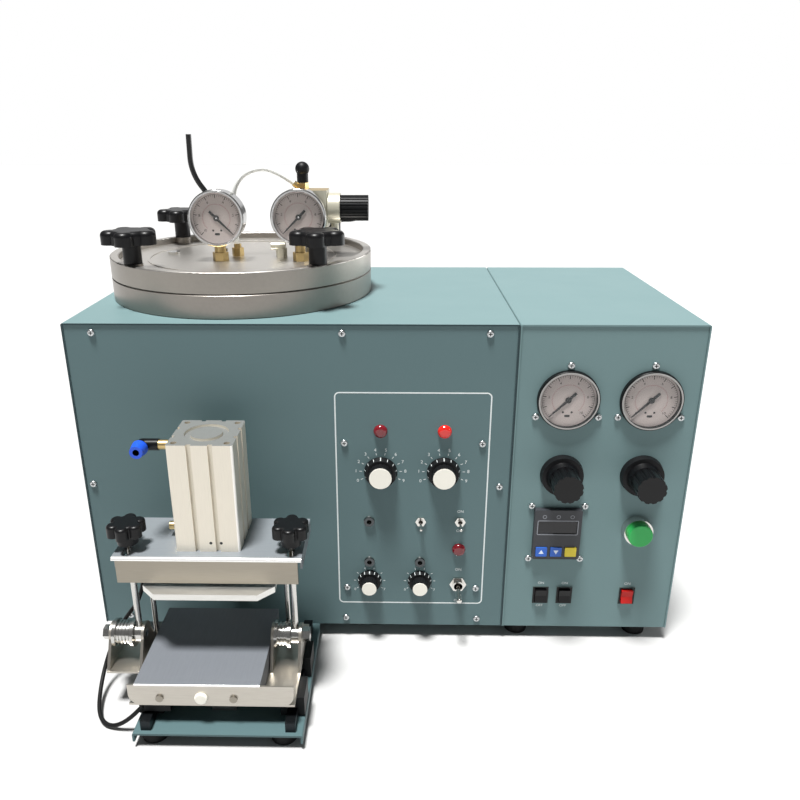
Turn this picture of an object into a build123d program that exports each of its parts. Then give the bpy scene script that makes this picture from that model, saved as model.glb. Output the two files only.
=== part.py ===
"""Bench wax injector for jewellery work: a heated wax cabinet with a sliding
auto-clamp in front of it, and a pneumatic control box standing beside it.

Millimetres, +Z up, the operator looks along +Y at the front panels.  The origin
is the centre of the footprint, on the surface the feet stand on."""

import os
from math import cos, pi, radians, sin

from build123d import *

os.makedirs("parts", exist_ok=True)

# ---------------------------------------------------------------- driving sizes
main_width = 431.6        # wax cabinet, outside
control_width = 176.0     # control box, outside
box_gap = 0.4             # between the two boxes
box_depth = 290.0         # front panel face to rear panel face
box_floor = 16.0          # underside of both boxes
box_top = 352.0
sheet = 1.5               # cabinet sheet metal
cover_proud = 1.0         # the covers stand this far in front of the panels
clamp_reach = 160.0       # base plate in front of the panels
rear_reach = 20.0         # connectors behind the rear panels
flange_depth = 12.0       # folded edges that the panels are screwed to
floor_flange = 14.0       # the floor's own folded edge
panel_gap = 0.2           # between a panel and the cover around it
hole_gap = 0.2            # radial room around a fitting in its panel hole
moving_gap = 0.3          # between neighbours that move past each other
bearing_gap = 0.05        # radial, shaft in bearing

pot_x_from_left = 146.0   # wax pot axis, from the cabinet's left side
pot_y_from_front = 154.5
flange_radius = 141.0     # pot flange and lid, outside
flange_height = 23.5
pot_radius = 105.0        # tank, outside
pot_wall = 5.0
pot_depth = 240.0         # tank below the cabinet top
lid_height = 21.2
lid_recess = 7.0          # rim stands this far above the lid floor
lid_rim = 9.0
lid_spigot_depth = 6.0

upper_from_left = 145.0   # clamp head axis, from the cabinet's left side
axle_from_left = 135.5    # middle between the two side axles
bridge_top = 160.0
bridge_width = 173.0
bridge_sheet = 3.0
bridge_front = 100.0      # in front of the panels
bridge_back = 26.0
bridge_lip = 26.0
cylinder_side = 59.0
cylinder_axis_reach = 58.5  # in front of the panels
clamp_stroke = 45.0
cylinder_dead_length = 61.0  # ends, piston and return spring at rest
cylinder_height = clamp_stroke + cylinder_dead_length
clamp_plate_thickness = 6.0
clamp_plate_bottom = 124.0
carriage_travel = 20.0
tray_top = 62.0
axle_height = 65.5
axle_reach = 82.0         # side axles, in front of the panels
front_plate_reach = 148.5

# ---------------------------------------------------------------- derived places
total_width = main_width + box_gap + control_width
total_depth = clamp_reach + box_depth + rear_reach
main_left = -total_width / 2
main_right = main_left + main_width
main_x = (main_left + main_right) / 2
control_left = main_right + box_gap
control_right = control_left + control_width
control_x = (control_left + control_right) / 2
front_y = -total_depth / 2 + clamp_reach
rear_y = front_y + box_depth
panel_back = front_y + sheet
box_height = box_top - box_floor
box_middle = (box_top + box_floor) / 2
inner_top = box_top - sheet

pot_x = main_left + pot_x_from_left
pot_y = front_y + pot_y_from_front
flange_top = box_top + flange_height
lid_bottom = flange_top + moving_gap
lid_top = lid_bottom + lid_height
lid_floor = lid_top - lid_recess

upper_x = main_left + upper_from_left
axle_x = main_left + axle_from_left
axle_y = front_y - axle_reach


def facing(y):
    """Sketch plane at depth y that looks at the operator; x right, y up."""
    return Plane.XZ.offset(-y)


# ---------------------------------------------------------------- panel layout
# Places on the panels are (x, z): x from the controller's or control box's
# middle, z above the surface the feet stand on.
controller_x = main_right - 99.1
temperature_knobs = [(controller_x - 31.5, 199.0), (controller_x + 31.5, 199.0)]
dwell_knobs = [(controller_x - 43.5, 71.5), (controller_x + 9.5, 71.5)]
lamp_places = [(controller_x - 31.5, 244.0), (controller_x + 31.5, 244.0), (controller_x + 49.5, 111.0)]
jack_places = [(controller_x - 43.5, 143.5), (controller_x - 43.5, 95.5), (controller_x + 9.5, 95.5)]
mode_switches = [(controller_x + 9.5, 143.5), (controller_x + 50.0, 143.5)]
power_switch = (controller_x + 50.0, 69.0)
board_screws = [(controller_x - 67.5, 231.0), (controller_x + 69.0, 231.0),
                (controller_x - 67.5, 63.5), (controller_x + 69.0, 63.5)]
edge_screws = [(main_left + 28.0, 343.0), (main_left + 265.0, 343.0), (main_right - 27.6, 343.0),
               (main_left + 8.5, 184.0), (main_right - 11.1, 184.0),
               (main_left + 28.0, 25.0), (main_left + 263.0, 25.0), (main_right - 27.6, 25.0)]

gauge_pitch = 79.4
gauge_height = 277.5
gauge_places = [(control_x + 1.5 - gauge_pitch / 2, gauge_height), (control_x + 1.5 + gauge_pitch / 2, gauge_height)]
gauge_screw_circle = 35.0
regulator_places = [(control_x + 1.5 - gauge_pitch / 2, 198.0), (control_x + 1.5 + gauge_pitch / 2, 198.0)]
timer_place = (control_x - 38.5, 132.0)
timer_width, timer_height = 48.0, 57.0
timer_screws = [(timer_place[0] + sx * 26.8, timer_place[1] + sz * 30.8) for sx in (-1, 1) for sz in (-1, 1)]
start_place = (control_x + 43.0, 137.0)
rocker_places = [(control_x - 49.5, 56.5), (control_x - 24.5, 56.5), (control_x + 41.5, 56.5)]

screw_head_radius, screw_head_height = 3.5, 2.2
screw_radius, screw_length = 1.6, 8.0
cross_length, cross_width, cross_depth = 3.8, 0.9, 1.3
lamp_radius, lamp_shank = 7.0, 4.9
jack_radius, jack_shank = 5.8, 4.0
mode_bush, power_bush = 3.0, 6.0
board_depth = 10.0        # behind the panel
knob_shaft = 3.0


# ---------------------------------------------------------------- cabinet covers
def box_cover(left, width, pot_hole):
    """Folded cover; the wax cabinet has the pot's hole and a screw flange as well."""
    middle = left + width / 2
    with BuildPart() as cover:
        with BuildSketch(facing(front_y - cover_proud)):
            with Locations((middle, box_middle)):
                Rectangle(width, box_height)
            with Locations((middle, (box_floor + inner_top) / 2)):
                Rectangle(width - 2 * sheet, inner_top - box_floor, mode=Mode.SUBTRACT)
        extrude(amount=-(box_depth + cover_proud))
        fillet(cover.edges().filter_by(Axis.Y).group_by(Axis.Z)[-1], radius=sheet * 1.2)
        if pot_hole:
            with BuildSketch(facing(panel_back)):
                with Locations((middle, (box_floor + inner_top) / 2)):
                    Rectangle(width - 2 * sheet, inner_top - box_floor)
                with Locations((middle, (box_floor + inner_top - flange_depth) / 2)):
                    Rectangle(width - 2 * (sheet + flange_depth), inner_top - flange_depth - box_floor,
                              mode=Mode.SUBTRACT)
                with Locations((middle, box_floor + floor_flange / 2)):
                    Rectangle(width - 2 * sheet, floor_flange + 2 * moving_gap, mode=Mode.SUBTRACT)
            extrude(amount=-sheet)
            with BuildSketch(Plane.XY.offset(box_top)):
                with Locations((pot_x, pot_y)):
                    Circle(pot_radius + 1.5)
            extrude(amount=-2 * sheet, mode=Mode.SUBTRACT)
            with BuildSketch(facing(panel_back)):
                with Locations(*[place for place in edge_screws if place[1] > box_floor + flange_depth]):
                    Circle(screw_radius + hole_gap)
            extrude(amount=-sheet, mode=Mode.SUBTRACT)
    return cover


main_cover = box_cover(main_left, main_width, True)
main_cover.part.label = "main_cover"
export_step(main_cover.part, "parts/main_cover.step")

control_cover = box_cover(control_left, control_width, False)
control_cover.part.label = "control_cover"
export_step(control_cover.part, "parts/control_cover.step")

# ---------------------------------------------------------------- wax cabinet panels
valve_drop = 24.0         # nozzle below the tank's bottom
nozzle_height = box_top - pot_depth - valve_drop
nozzle_neck = 9.0

with BuildPart() as main_front_panel:
    with BuildSketch(facing(front_y)):
        with Locations((main_x, (box_floor + inner_top - panel_gap) / 2)):
            Rectangle(main_width - 2 * (sheet + panel_gap), inner_top - panel_gap - box_floor)
        with Locations(*lamp_places):
            Circle(lamp_shank + hole_gap, mode=Mode.SUBTRACT)
        with Locations(*jack_places):
            Circle(jack_shank + hole_gap, mode=Mode.SUBTRACT)
        with Locations(*mode_switches):
            Circle(mode_bush + hole_gap, mode=Mode.SUBTRACT)
        with Locations(power_switch):
            Circle(power_bush + hole_gap, mode=Mode.SUBTRACT)
        with Locations(*temperature_knobs, *dwell_knobs):
            Circle(knob_shaft + moving_gap, mode=Mode.SUBTRACT)
        with Locations(*edge_screws, *board_screws):
            Circle(screw_radius + hole_gap, mode=Mode.SUBTRACT)
        with Locations((upper_x, nozzle_height)):
            Circle(nozzle_neck + hole_gap, mode=Mode.SUBTRACT)
    extrude(amount=-sheet)
main_front_panel.part.label = "main_front_panel"
export_step(main_front_panel.part, "parts/main_front_panel.step")

chassis_floor_top = box_floor + sheet
socket_width, socket_height = 48.0, 28.0
socket_place = (control_x + 40.0, 60.0)
air_inlets = [(control_x - 45.0, 60.0), (control_x - 15.0, 60.0)]
air_thread = 6.0
vent_slots = 7
vent_pitch = 16.0
vent_length, vent_height = 60.0, 5.0

with BuildPart() as main_chassis:
    with BuildSketch(Plane.XY.offset(box_floor)):
        with Locations((main_x, (panel_back + rear_y) / 2)):
            Rectangle(main_width - 2 * (sheet + panel_gap), rear_y - panel_back)
    extrude(amount=sheet)
    with BuildSketch(facing(rear_y - sheet)):
        with Locations((main_x, (box_floor + inner_top - panel_gap) / 2)):
            Rectangle(main_width - 2 * (sheet + panel_gap), inner_top - panel_gap - box_floor)
        with Locations((main_x, box_middle)):
            with GridLocations(vent_length * 1.5, vent_pitch, 2, vent_slots):
                SlotOverall(vent_length, vent_height, mode=Mode.SUBTRACT)
    extrude(amount=-sheet)
    with BuildSketch(facing(panel_back)):
        with Locations((main_x, box_floor + floor_flange / 2)):
            Rectangle(main_width - 4 * (sheet + panel_gap), floor_flange)
        with Locations(*[place for place in edge_screws if place[1] < box_floor + floor_flange]):
            Circle(screw_radius + hole_gap, mode=Mode.SUBTRACT)
    extrude(amount=-sheet)
main_chassis.part.label = "main_chassis"
export_step(main_chassis.part, "parts/main_chassis.step")

# ---------------------------------------------------------------- control box chassis
gauge_rim = 30.0
gauge_case = 29.0
regulator_neck = 13.0
timer_body_width, timer_body_height = 44.0, 53.0
start_shank = 11.0
rocker_width, rocker_height = 16.5, 20.0
rocker_body_width, rocker_body_height = 13.6, 18.4

with BuildPart() as control_chassis:
    with BuildSketch(facing(front_y)):
        with Locations((control_x, (box_floor + inner_top - panel_gap) / 2)):
            Rectangle(control_width - 2 * (sheet + panel_gap), inner_top - panel_gap - box_floor)
        with Locations(*gauge_places):
            Circle(gauge_rim + hole_gap, mode=Mode.SUBTRACT)
            with PolarLocations(gauge_screw_circle, 3, start_angle=90):
                Circle(screw_radius + hole_gap, mode=Mode.SUBTRACT)
        with Locations(*regulator_places):
            Circle(regulator_neck + hole_gap, mode=Mode.SUBTRACT)
        with Locations(timer_place):
            Rectangle(timer_body_width + 2 * hole_gap, timer_body_height + 2 * hole_gap, mode=Mode.SUBTRACT)
        with Locations(*timer_screws):
            Circle(screw_radius + hole_gap, mode=Mode.SUBTRACT)
        with Locations(start_place):
            Circle(start_shank + hole_gap, mode=Mode.SUBTRACT)
        with Locations(*rocker_places):
            Rectangle(rocker_body_width + 2 * hole_gap, rocker_body_height + 2 * hole_gap, mode=Mode.SUBTRACT)
    extrude(amount=-sheet)
    with BuildSketch(Plane.XY.offset(box_floor)):
        with Locations((control_x, (front_y + rear_y) / 2)):
            Rectangle(control_width - 2 * (sheet + panel_gap), box_depth)
    extrude(amount=sheet)
    with BuildSketch(facing(rear_y - sheet)):
        with Locations((control_x, (box_floor + inner_top - panel_gap) / 2)):
            Rectangle(control_width - 2 * (sheet + panel_gap), inner_top - panel_gap - box_floor)
        with Locations(socket_place):
            Rectangle(socket_width - 8.0 + 2 * hole_gap, socket_height - 4.0 + 2 * hole_gap, mode=Mode.SUBTRACT)
        with Locations(*air_inlets):
            Circle(air_thread + hole_gap, mode=Mode.SUBTRACT)
        with Locations((control_x, box_middle + 40.0)):
            with GridLocations(0, vent_pitch, 1, vent_slots):
                SlotOverall(vent_length, vent_height, mode=Mode.SUBTRACT)
    extrude(amount=-sheet)
control_chassis.part.label = "control_chassis"
export_step(control_chassis.part, "parts/control_chassis.step")

# ---------------------------------------------------------------- clamp base plate
base_plate_width = 153.5
base_plate_from_left = 81.0
base_plate_left = main_left + base_plate_from_left
base_plate_x = base_plate_left + base_plate_width / 2
base_plate_sheet = 2.0
base_plate_top = box_floor
base_plate_tuck = 40.0    # runs this far under the cabinet
base_plate_front = front_y - clamp_reach
base_plate_side = 9.0     # folded side flanges

with BuildPart() as clamp_base:
    with BuildSketch(Plane.XY.offset(base_plate_top - base_plate_sheet)):
        with Locations((base_plate_x, (base_plate_front + front_y + base_plate_tuck) / 2)):
            Rectangle(base_plate_width, clamp_reach + base_plate_tuck)
    extrude(amount=base_plate_sheet)
    with BuildSketch(Plane.XY.offset(base_plate_top - base_plate_side)):
        with Locations((base_plate_x, (base_plate_front + front_y) / 2)):
            with GridLocations(base_plate_width - base_plate_sheet, 0, 2, 1):
                Rectangle(base_plate_sheet, clamp_reach)
    extrude(amount=base_plate_side)
    fillet(clamp_base.edges().filter_by(Axis.Y).group_by(Axis.Z)[-1], radius=base_plate_sheet * 0.8)
clamp_base.part.label = "clamp_base"
export_step(clamp_base.part, "parts/clamp_base.step")

# ---------------------------------------------------------------- rubber feet
foot_radius = 13.5
foot_inset = 18.0
foot_taper = 1.5
control_feet = [(control_left + foot_inset, front_y + 20.0), (control_right - 28.0, front_y + 20.0),
                (control_left + foot_inset, rear_y - 25.0), (control_right - 28.0, rear_y - 25.0)]
cabinet_feet = [(main_left + 25.0, rear_y - 25.0), (main_right - 30.0, rear_y - 25.0)]
plate_feet = [(base_plate_left + 15.5, base_plate_front + 17.0),
              (base_plate_left + base_plate_width - 19.0, base_plate_front + 17.0)]

with BuildPart() as rubber_feet:
    for places, height in ((control_feet + cabinet_feet, box_floor),
                           (plate_feet, base_plate_top - base_plate_sheet)):
        with BuildSketch(Plane.XY):
            with Locations(*places):
                Circle(foot_radius - foot_taper)
        extrude(amount=height, taper=-foot_taper * 3)
rubber_feet.part.label = "rubber_feet"
export_step(rubber_feet.part, "parts/rubber_feet.step")

# ---------------------------------------------------------------- panel screws
with BuildPart() as panel_screws:
    gauge_screws = [(gx + gauge_screw_circle * cos(radians(90 + 120 * turn)),
                     gz + gauge_screw_circle * sin(radians(90 + 120 * turn)))
                    for gx, gz in gauge_places for turn in range(3)]
    every_screw = edge_screws + board_screws + timer_screws + gauge_screws
    with BuildSketch(facing(front_y)):
        with Locations(*every_screw):
            Circle(screw_head_radius)
    extrude(amount=screw_head_height)
    fillet(panel_screws.edges().filter_by(GeomType.CIRCLE).group_by(Axis.Y)[0], radius=screw_head_height * 0.6)
    with BuildSketch(facing(front_y)):
        with Locations(*every_screw):
            Circle(screw_radius)
    extrude(amount=-screw_length)
    with BuildSketch(facing(front_y - screw_head_height)):
        with Locations(*every_screw):
            Rectangle(cross_length, cross_width)
            Rectangle(cross_width, cross_length)
    extrude(amount=-cross_depth, mode=Mode.SUBTRACT)
panel_screws.part.label = "panel_screws"
export_step(panel_screws.part, "parts/panel_screws.step")

# ---------------------------------------------------------------- wax pot and its heater
lid_knob_circle = 130.5
lid_knob_angles = [225.0, 315.0, 135.0, 45.0]
lid_knob_places = [(pot_x + lid_knob_circle * cos(radians(a)), pot_y + lid_knob_circle * sin(radians(a)))
                   for a in lid_knob_angles]
lid_stud = 4.0
seam_chamfer = 0.8        # eased edges of the flange and the lid
lid_stud_gap = 0.35
lid_stud_reach = 14.0     # into the flange
pot_bottom = box_top - pot_depth
feed_radius = 8.0
feed_bore = 4.0
feed_wall = 1.5           # the elbow is this much stouter than the pipe
feed_y = pot_y - 85.0
heater_thickness, heater_bottom, heater_height = 4.0, 150.0, 110.0

with BuildPart() as wax_pot:
    with BuildSketch(Plane.XY.offset(box_top)):
        with Locations((pot_x, pot_y)):
            Circle(flange_radius)
    extrude(amount=flange_height)
    chamfer(wax_pot.edges().filter_by(GeomType.CIRCLE), length=seam_chamfer)
    with BuildSketch(Plane.XY.offset(pot_bottom)):
        with Locations((pot_x, pot_y)):
            Circle(pot_radius)
    extrude(amount=pot_depth)
    with BuildSketch(Plane.XY.offset(pot_bottom + pot_wall)):
        with Locations((pot_x, pot_y)):
            Circle(pot_radius - pot_wall)
    extrude(amount=pot_depth + flange_height, mode=Mode.SUBTRACT)
    with BuildSketch(Plane.XY.offset(pot_bottom)):
        with Locations((upper_x, feed_y)):
            Circle(feed_bore)
    extrude(amount=pot_wall, mode=Mode.SUBTRACT)
    with BuildSketch(Plane.XY.offset(flange_top)):
        with Locations(*lid_knob_places):
            Circle(lid_stud + lid_stud_gap)
    extrude(amount=-(lid_stud_reach + 2.0), mode=Mode.SUBTRACT)
    with BuildSketch(Plane.XY.offset(heater_bottom)):
        with Locations((pot_x, pot_y)):
            Circle(pot_radius + hole_gap + heater_thickness)
            Circle(pot_radius + hole_gap, mode=Mode.SUBTRACT)
    extrude(amount=heater_height)
wax_pot.part.label = "wax_pot"
export_step(wax_pot.part, "parts/wax_pot.step")

# ---------------------------------------------------------------- injection valve and nozzle
valve_width, valve_depth, valve_height = 40.0, 40.0, 40.0
nozzle_reach = 21.0
nozzle_tip = 4.0
nozzle_bore = 1.5

with BuildPart() as injection_valve:
    with BuildSketch(facing(panel_back)):
        with Locations((upper_x, nozzle_height)):
            Rectangle(valve_width, valve_height)
    extrude(amount=-valve_depth)
    with BuildSketch(facing(panel_back + valve_depth)):
        with Locations((upper_x, nozzle_height)):
            Circle(feed_radius)
    extrude(amount=-(feed_y - panel_back - valve_depth))
    with BuildSketch(Plane.XY.offset(nozzle_height - feed_radius - feed_wall)):
        with Locations((upper_x, feed_y)):
            Circle(feed_radius + feed_wall)
    extrude(amount=pot_bottom - nozzle_height + feed_radius + feed_wall)
    with BuildSketch(facing(panel_back)):
        with Locations((upper_x, nozzle_height)):
            Circle(nozzle_neck)
    extrude(amount=sheet + 4.0)
    with BuildSketch(facing(front_y - 4.0)):
        with Locations((upper_x, nozzle_height)):
            Circle(nozzle_neck - 1.0)
    with BuildSketch(facing(front_y - nozzle_reach)):
        with Locations((upper_x, nozzle_height)):
            Circle(nozzle_tip)
    loft()
    with BuildSketch(facing(front_y - nozzle_reach)):
        with Locations((upper_x, nozzle_height)):
            Circle(nozzle_bore)
    extrude(amount=-(nozzle_reach + valve_depth / 2), mode=Mode.SUBTRACT)
injection_valve.part.label = "injection_valve"
export_step(injection_valve.part, "parts/injection_valve.step")

# ---------------------------------------------------------------- lamps, sockets, switch bodies
lamp_height, lamp_shank_length = 5.0, 7.0
jack_height, jack_hole = 3.0, 2.5
mode_nut, mode_nut_height = 5.6, 2.0
mode_mouth, mode_bush_height = 2.35, 2.6
power_nut, power_nut_height = 9.0, 2.5
power_mouth, power_bush_height = 4.6, 6.5
switch_body_depth = 8.0
switch_pocket = 4.5       # room behind the panel face for the lever's ball
lever_pivot = 1.0         # middle of that ball, behind the panel face
bezel_radius, bezel_height = 15.5, 9.0
button_radius = 12.4
button_travel = 4.0
button_proud = 16.0
contact_depth = 26.0
rocker_frame_height = 1.6
rocker_key_width, rocker_key_height = 11.6, 15.0
rocker_body_depth = 16.0


def switch_body(place, bush, mouth, bush_height, nut, nut_height, body_width, body_height):
    """Threaded bush with its nut in front of the panel and the contact block behind it."""
    with BuildPart() as body:
        with BuildSketch(facing(front_y)):
            with Locations(place):
                RegularPolygon(nut, 6)
        extrude(amount=nut_height)
        with BuildSketch(facing(panel_back)):
            with Locations(place):
                Circle(bush)
        extrude(amount=sheet + bush_height)
        with BuildSketch(facing(panel_back)):
            with Locations(place):
                Rectangle(body_width, body_height)
        extrude(amount=-switch_body_depth)
        with BuildSketch(facing(front_y - bush_height)):
            with Locations(place):
                Circle(mouth)
        extrude(amount=-(bush_height + switch_pocket + mouth), mode=Mode.SUBTRACT)
    return body.part


switch_bodies = [switch_body(place, mode_bush, mode_mouth, mode_bush_height, mode_nut, mode_nut_height, 8.0, 13.0)
                 for place in mode_switches]
switch_bodies.append(switch_body(power_switch, power_bush, power_mouth, power_bush_height,
                                 power_nut, power_nut_height, 17.0, 28.0))

with BuildPart() as panel_fittings:
    with BuildSketch(facing(front_y)):
        with Locations(*lamp_places):
            Circle(lamp_radius)
    extrude(amount=lamp_height)
    fillet(panel_fittings.edges().filter_by(GeomType.CIRCLE).group_by(Axis.Y)[0], radius=lamp_height * 0.8)
    with BuildSketch(facing(front_y)):
        with Locations(*lamp_places):
            Circle(lamp_shank)
    extrude(amount=-lamp_shank_length)
    with BuildSketch(facing(front_y)):
        with Locations(*jack_places):
            Circle(jack_radius)
    extrude(amount=jack_height, taper=12)
    with BuildSketch(facing(front_y)):
        with Locations(*jack_places):
            Circle(jack_shank)
    extrude(amount=-lamp_shank_length)
    with BuildSketch(facing(front_y - jack_height)):
        with Locations(*jack_places):
            Circle(jack_hole)
    extrude(amount=-lamp_shank_length, mode=Mode.SUBTRACT)
    add(switch_bodies)
    # start button housing
    with BuildSketch(facing(front_y)):
        with Locations(start_place):
            Circle(bezel_radius)
    extrude(amount=bezel_height, taper=6)
    with BuildSketch(facing(front_y)):
        with Locations(start_place):
            Circle(start_shank)
    extrude(amount=-contact_depth)
    with BuildSketch(facing(front_y - bezel_height)):
        with Locations(start_place):
            Circle(button_radius + moving_gap)
    extrude(amount=-(bezel_height - 1.5), mode=Mode.SUBTRACT)
    # rocker frames with their pockets
    with BuildSketch(facing(front_y)):
        with Locations(*rocker_places):
            Rectangle(rocker_width, rocker_height)
    extrude(amount=rocker_frame_height)
    with BuildSketch(facing(front_y)):
        with Locations(*rocker_places):
            Rectangle(rocker_body_width, rocker_body_height)
    extrude(amount=-rocker_body_depth)
    with BuildSketch(facing(front_y - rocker_frame_height)):
        with Locations(*rocker_places):
            Rectangle(rocker_key_width + 2 * moving_gap, rocker_key_height + 1.6)
    extrude(amount=-(rocker_frame_height + 9.0), mode=Mode.SUBTRACT)
panel_fittings.part.label = "panel_fittings"
export_step(panel_fittings.part, "parts/panel_fittings.step")

# ---------------------------------------------------------------- start button and rockers
with BuildPart() as start_button:
    with BuildSketch(facing(front_y - button_proud)):
        with Locations(start_place):
            Circle(button_radius)
    extrude(amount=-(button_proud - 1.5 - button_travel - 0.5))
    fillet(start_button.edges().filter_by(GeomType.CIRCLE).group_by(Axis.Y)[0], radius=1.2)
start_button.part.label = "start_button"
export_step(start_button.part, "parts/start_button.step")

rocker_names = ["forward_rocker", "clamp_rocker", "mains_rocker"]
rocker_proud = 4.6
rocker_dish = 1.6
for name, (rx, rz) in zip(rocker_names, rocker_places):
    with BuildPart() as rocker:
        with BuildSketch(Plane.YZ.offset(rx - rocker_key_width / 2)):
            with BuildLine():
                Polyline((front_y + 5.0, rz - rocker_key_height / 2 + 1.5),
                         (front_y - rocker_proud, rz - rocker_key_height / 2),
                         (front_y - rocker_proud + rocker_dish, rz),
                         (front_y - rocker_proud, rz + rocker_key_height / 2),
                         (front_y + 5.0, rz + rocker_key_height / 2 - 1.5), close=True)
            make_face()
        extrude(amount=rocker_key_width)
    rocker.part.label = name
    export_step(rocker.part, f"parts/{name}.step")

# ---------------------------------------------------------------- toggle levers
lever_tilt = 12.0


def toggle_lever(place, ball, root, tip, length):
    """Lever with its ball in the bush; the bat points down at rest."""
    x, z = place
    pivot = Plane(origin=(x, front_y + lever_pivot, z), x_dir=(1, 0, 0),
                  z_dir=(0, -cos(radians(lever_tilt)), -sin(radians(lever_tilt))))
    with BuildPart() as lever:
        with BuildSketch(pivot):
            Circle(root)
        with BuildSketch(pivot.offset(length)):
            Circle(tip)
        loft()
        fillet(lever.faces().sort_by(Axis.Y)[0].edges(), radius=tip * 0.6)
        with Locations(pivot):
            Sphere(ball)
    return lever.part


toggle_names = ["auto_toggle", "vacuum_toggle", "power_toggle"]
toggle_levers = [toggle_lever(mode_switches[0], 1.9, 1.0, 1.6, 15.0),
                 toggle_lever(mode_switches[1], 1.9, 1.0, 1.6, 15.0),
                 toggle_lever(power_switch, 3.6, 1.9, 3.0, 27.0)]
for name, lever in zip(toggle_names, toggle_levers):
    lever.label = name
    export_step(lever, f"parts/{name}.step")

# ---------------------------------------------------------------- control knobs on the cabinet
knob_lift = 0.5           # knob skirt to panel
temperature_skirt, temperature_cap = 16.8, 12.2
dwell_skirt, dwell_cap = 12.8, 8.6
shaft_length = 7.0        # behind the panel face


def dial_knob(place, skirt, cap, skirt_height, height):
    """Skirted instrument knob on its shaft."""
    with BuildPart() as knob:
        with BuildSketch(facing(front_y - knob_lift)):
            with Locations(place):
                Circle(skirt)
        extrude(amount=skirt_height, taper=18)
        with BuildSketch(facing(front_y - knob_lift - skirt_height)):
            with Locations(place):
                Circle(cap)
                with PolarLocations(cap + 0.4, 18):
                    Circle(0.9, mode=Mode.SUBTRACT)
        extrude(amount=height - skirt_height, taper=4)
        with BuildSketch(facing(front_y - knob_lift)):
            with Locations(place):
                Circle(knob_shaft)
        extrude(amount=-(knob_lift + shaft_length))
    return knob.part


dial_knobs = {"wax_temperature_knob": dial_knob(temperature_knobs[0], temperature_skirt, temperature_cap, 6.0, 14.0),
              "valve_temperature_knob": dial_knob(temperature_knobs[1], temperature_skirt, temperature_cap, 6.0, 14.0),
              "vacuum_knob": dial_knob(dwell_knobs[0], dwell_skirt, dwell_cap, 5.0, 15.0),
              "injection_knob": dial_knob(dwell_knobs[1], dwell_skirt, dwell_cap, 5.0, 15.0)}
for name, knob in dial_knobs.items():
    knob.label = name
    export_step(knob, f"parts/{name}.step")

# ---------------------------------------------------------------- circuit boards and air valves
board_sheet = 1.6
potentiometer_radius = 8.0
stand_off = 3.5
board_face = panel_back + board_depth
air_valve_size = (22.0, 70.0, 42.0)
air_valve_pitch = 30.0
power_board_height = 8.0

with BuildPart() as boards_and_valves:
    with BuildSketch(facing(panel_back)):
        with Locations(*temperature_knobs, *dwell_knobs):
            Circle(potentiometer_radius)
            Circle(knob_shaft + bearing_gap, mode=Mode.SUBTRACT)
        with Locations(*board_screws):
            Circle(stand_off)
            Circle(screw_radius + hole_gap, mode=Mode.SUBTRACT)
    extrude(amount=-board_depth)
    with BuildSketch(facing(board_face)):
        with Locations((controller_x + 0.75, 147.5)):
            Rectangle(145.0, 184.0)
    extrude(amount=-board_sheet)
    with BuildSketch(Plane.XY.offset(chassis_floor_top)):
        with Locations((control_x, front_y + 190.0)):
            with GridLocations(air_valve_pitch, 0, 3, 1):
                Rectangle(air_valve_size[0], air_valve_size[1])
    extrude(amount=air_valve_size[2])
    with BuildSketch(Plane.XY.offset(chassis_floor_top)):
        with Locations((control_x, front_y + 95.0)):
            with GridLocations(130.0, 60.0, 2, 2):
                Circle(stand_off)
    extrude(amount=power_board_height)
    with BuildSketch(Plane.XY.offset(chassis_floor_top + power_board_height)):
        with Locations((control_x, front_y + 95.0)):
            Rectangle(140.0, 72.0)
    extrude(amount=board_sheet)
boards_and_valves.part.label = "boards_and_valves"
export_step(boards_and_valves.part, "parts/boards_and_valves.step")

# ---------------------------------------------------------------- pressure gauges
gauge_proud = 5.0         # rim in front of the panel
gauge_case_depth = 28.0
gauge_flange_radius, gauge_flange_sheet = 39.0, 1.2
rim_width = 2.6
glass_seat = 1.2          # glass below the rim
glass_sheet = 1.2
dial_depth = 4.6          # dial face below the rim
needle_sheet = 0.6
needle_lift = 0.6         # needle above the dial
needle_hub = 3.0
needle_pin = 1.0
needle_angle_panel = 225.0
lid_needle_angles = [315.0, 225.0]
lid_gauge_radius, lid_gauge_depth = 29.0, 24.0


def gauge_cup(place, face_y, rim, case, depth):
    """Gauge case with an open dial well and the pin that carries the needle."""
    with BuildPart() as cup:
        with BuildSketch(facing(face_y)):
            with Locations(place):
                Circle(rim)
        extrude(amount=-(dial_depth + 3.0))
        with BuildSketch(facing(face_y)):
            with Locations(place):
                Circle(case)
        extrude(amount=-depth)
        fillet(cup.edges().filter_by(GeomType.CIRCLE).group_by(Axis.Y)[0], radius=1.2)
        with BuildSketch(facing(face_y)):
            with Locations(place):
                Circle(rim - rim_width)
        extrude(amount=-dial_depth, mode=Mode.SUBTRACT)
        with BuildSketch(facing(face_y + dial_depth)):
            with Locations(place):
                Circle(needle_pin)
        extrude(amount=needle_lift + needle_sheet)
    return cup


def gauge_glass(place, face_y, rim):
    """Clear disc sprung into the rim."""
    with BuildPart() as glass:
        with BuildSketch(facing(face_y + glass_seat)):
            with Locations(place):
                Circle(rim - rim_width - bearing_gap)
        extrude(amount=-glass_sheet)
    return glass.part


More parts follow.
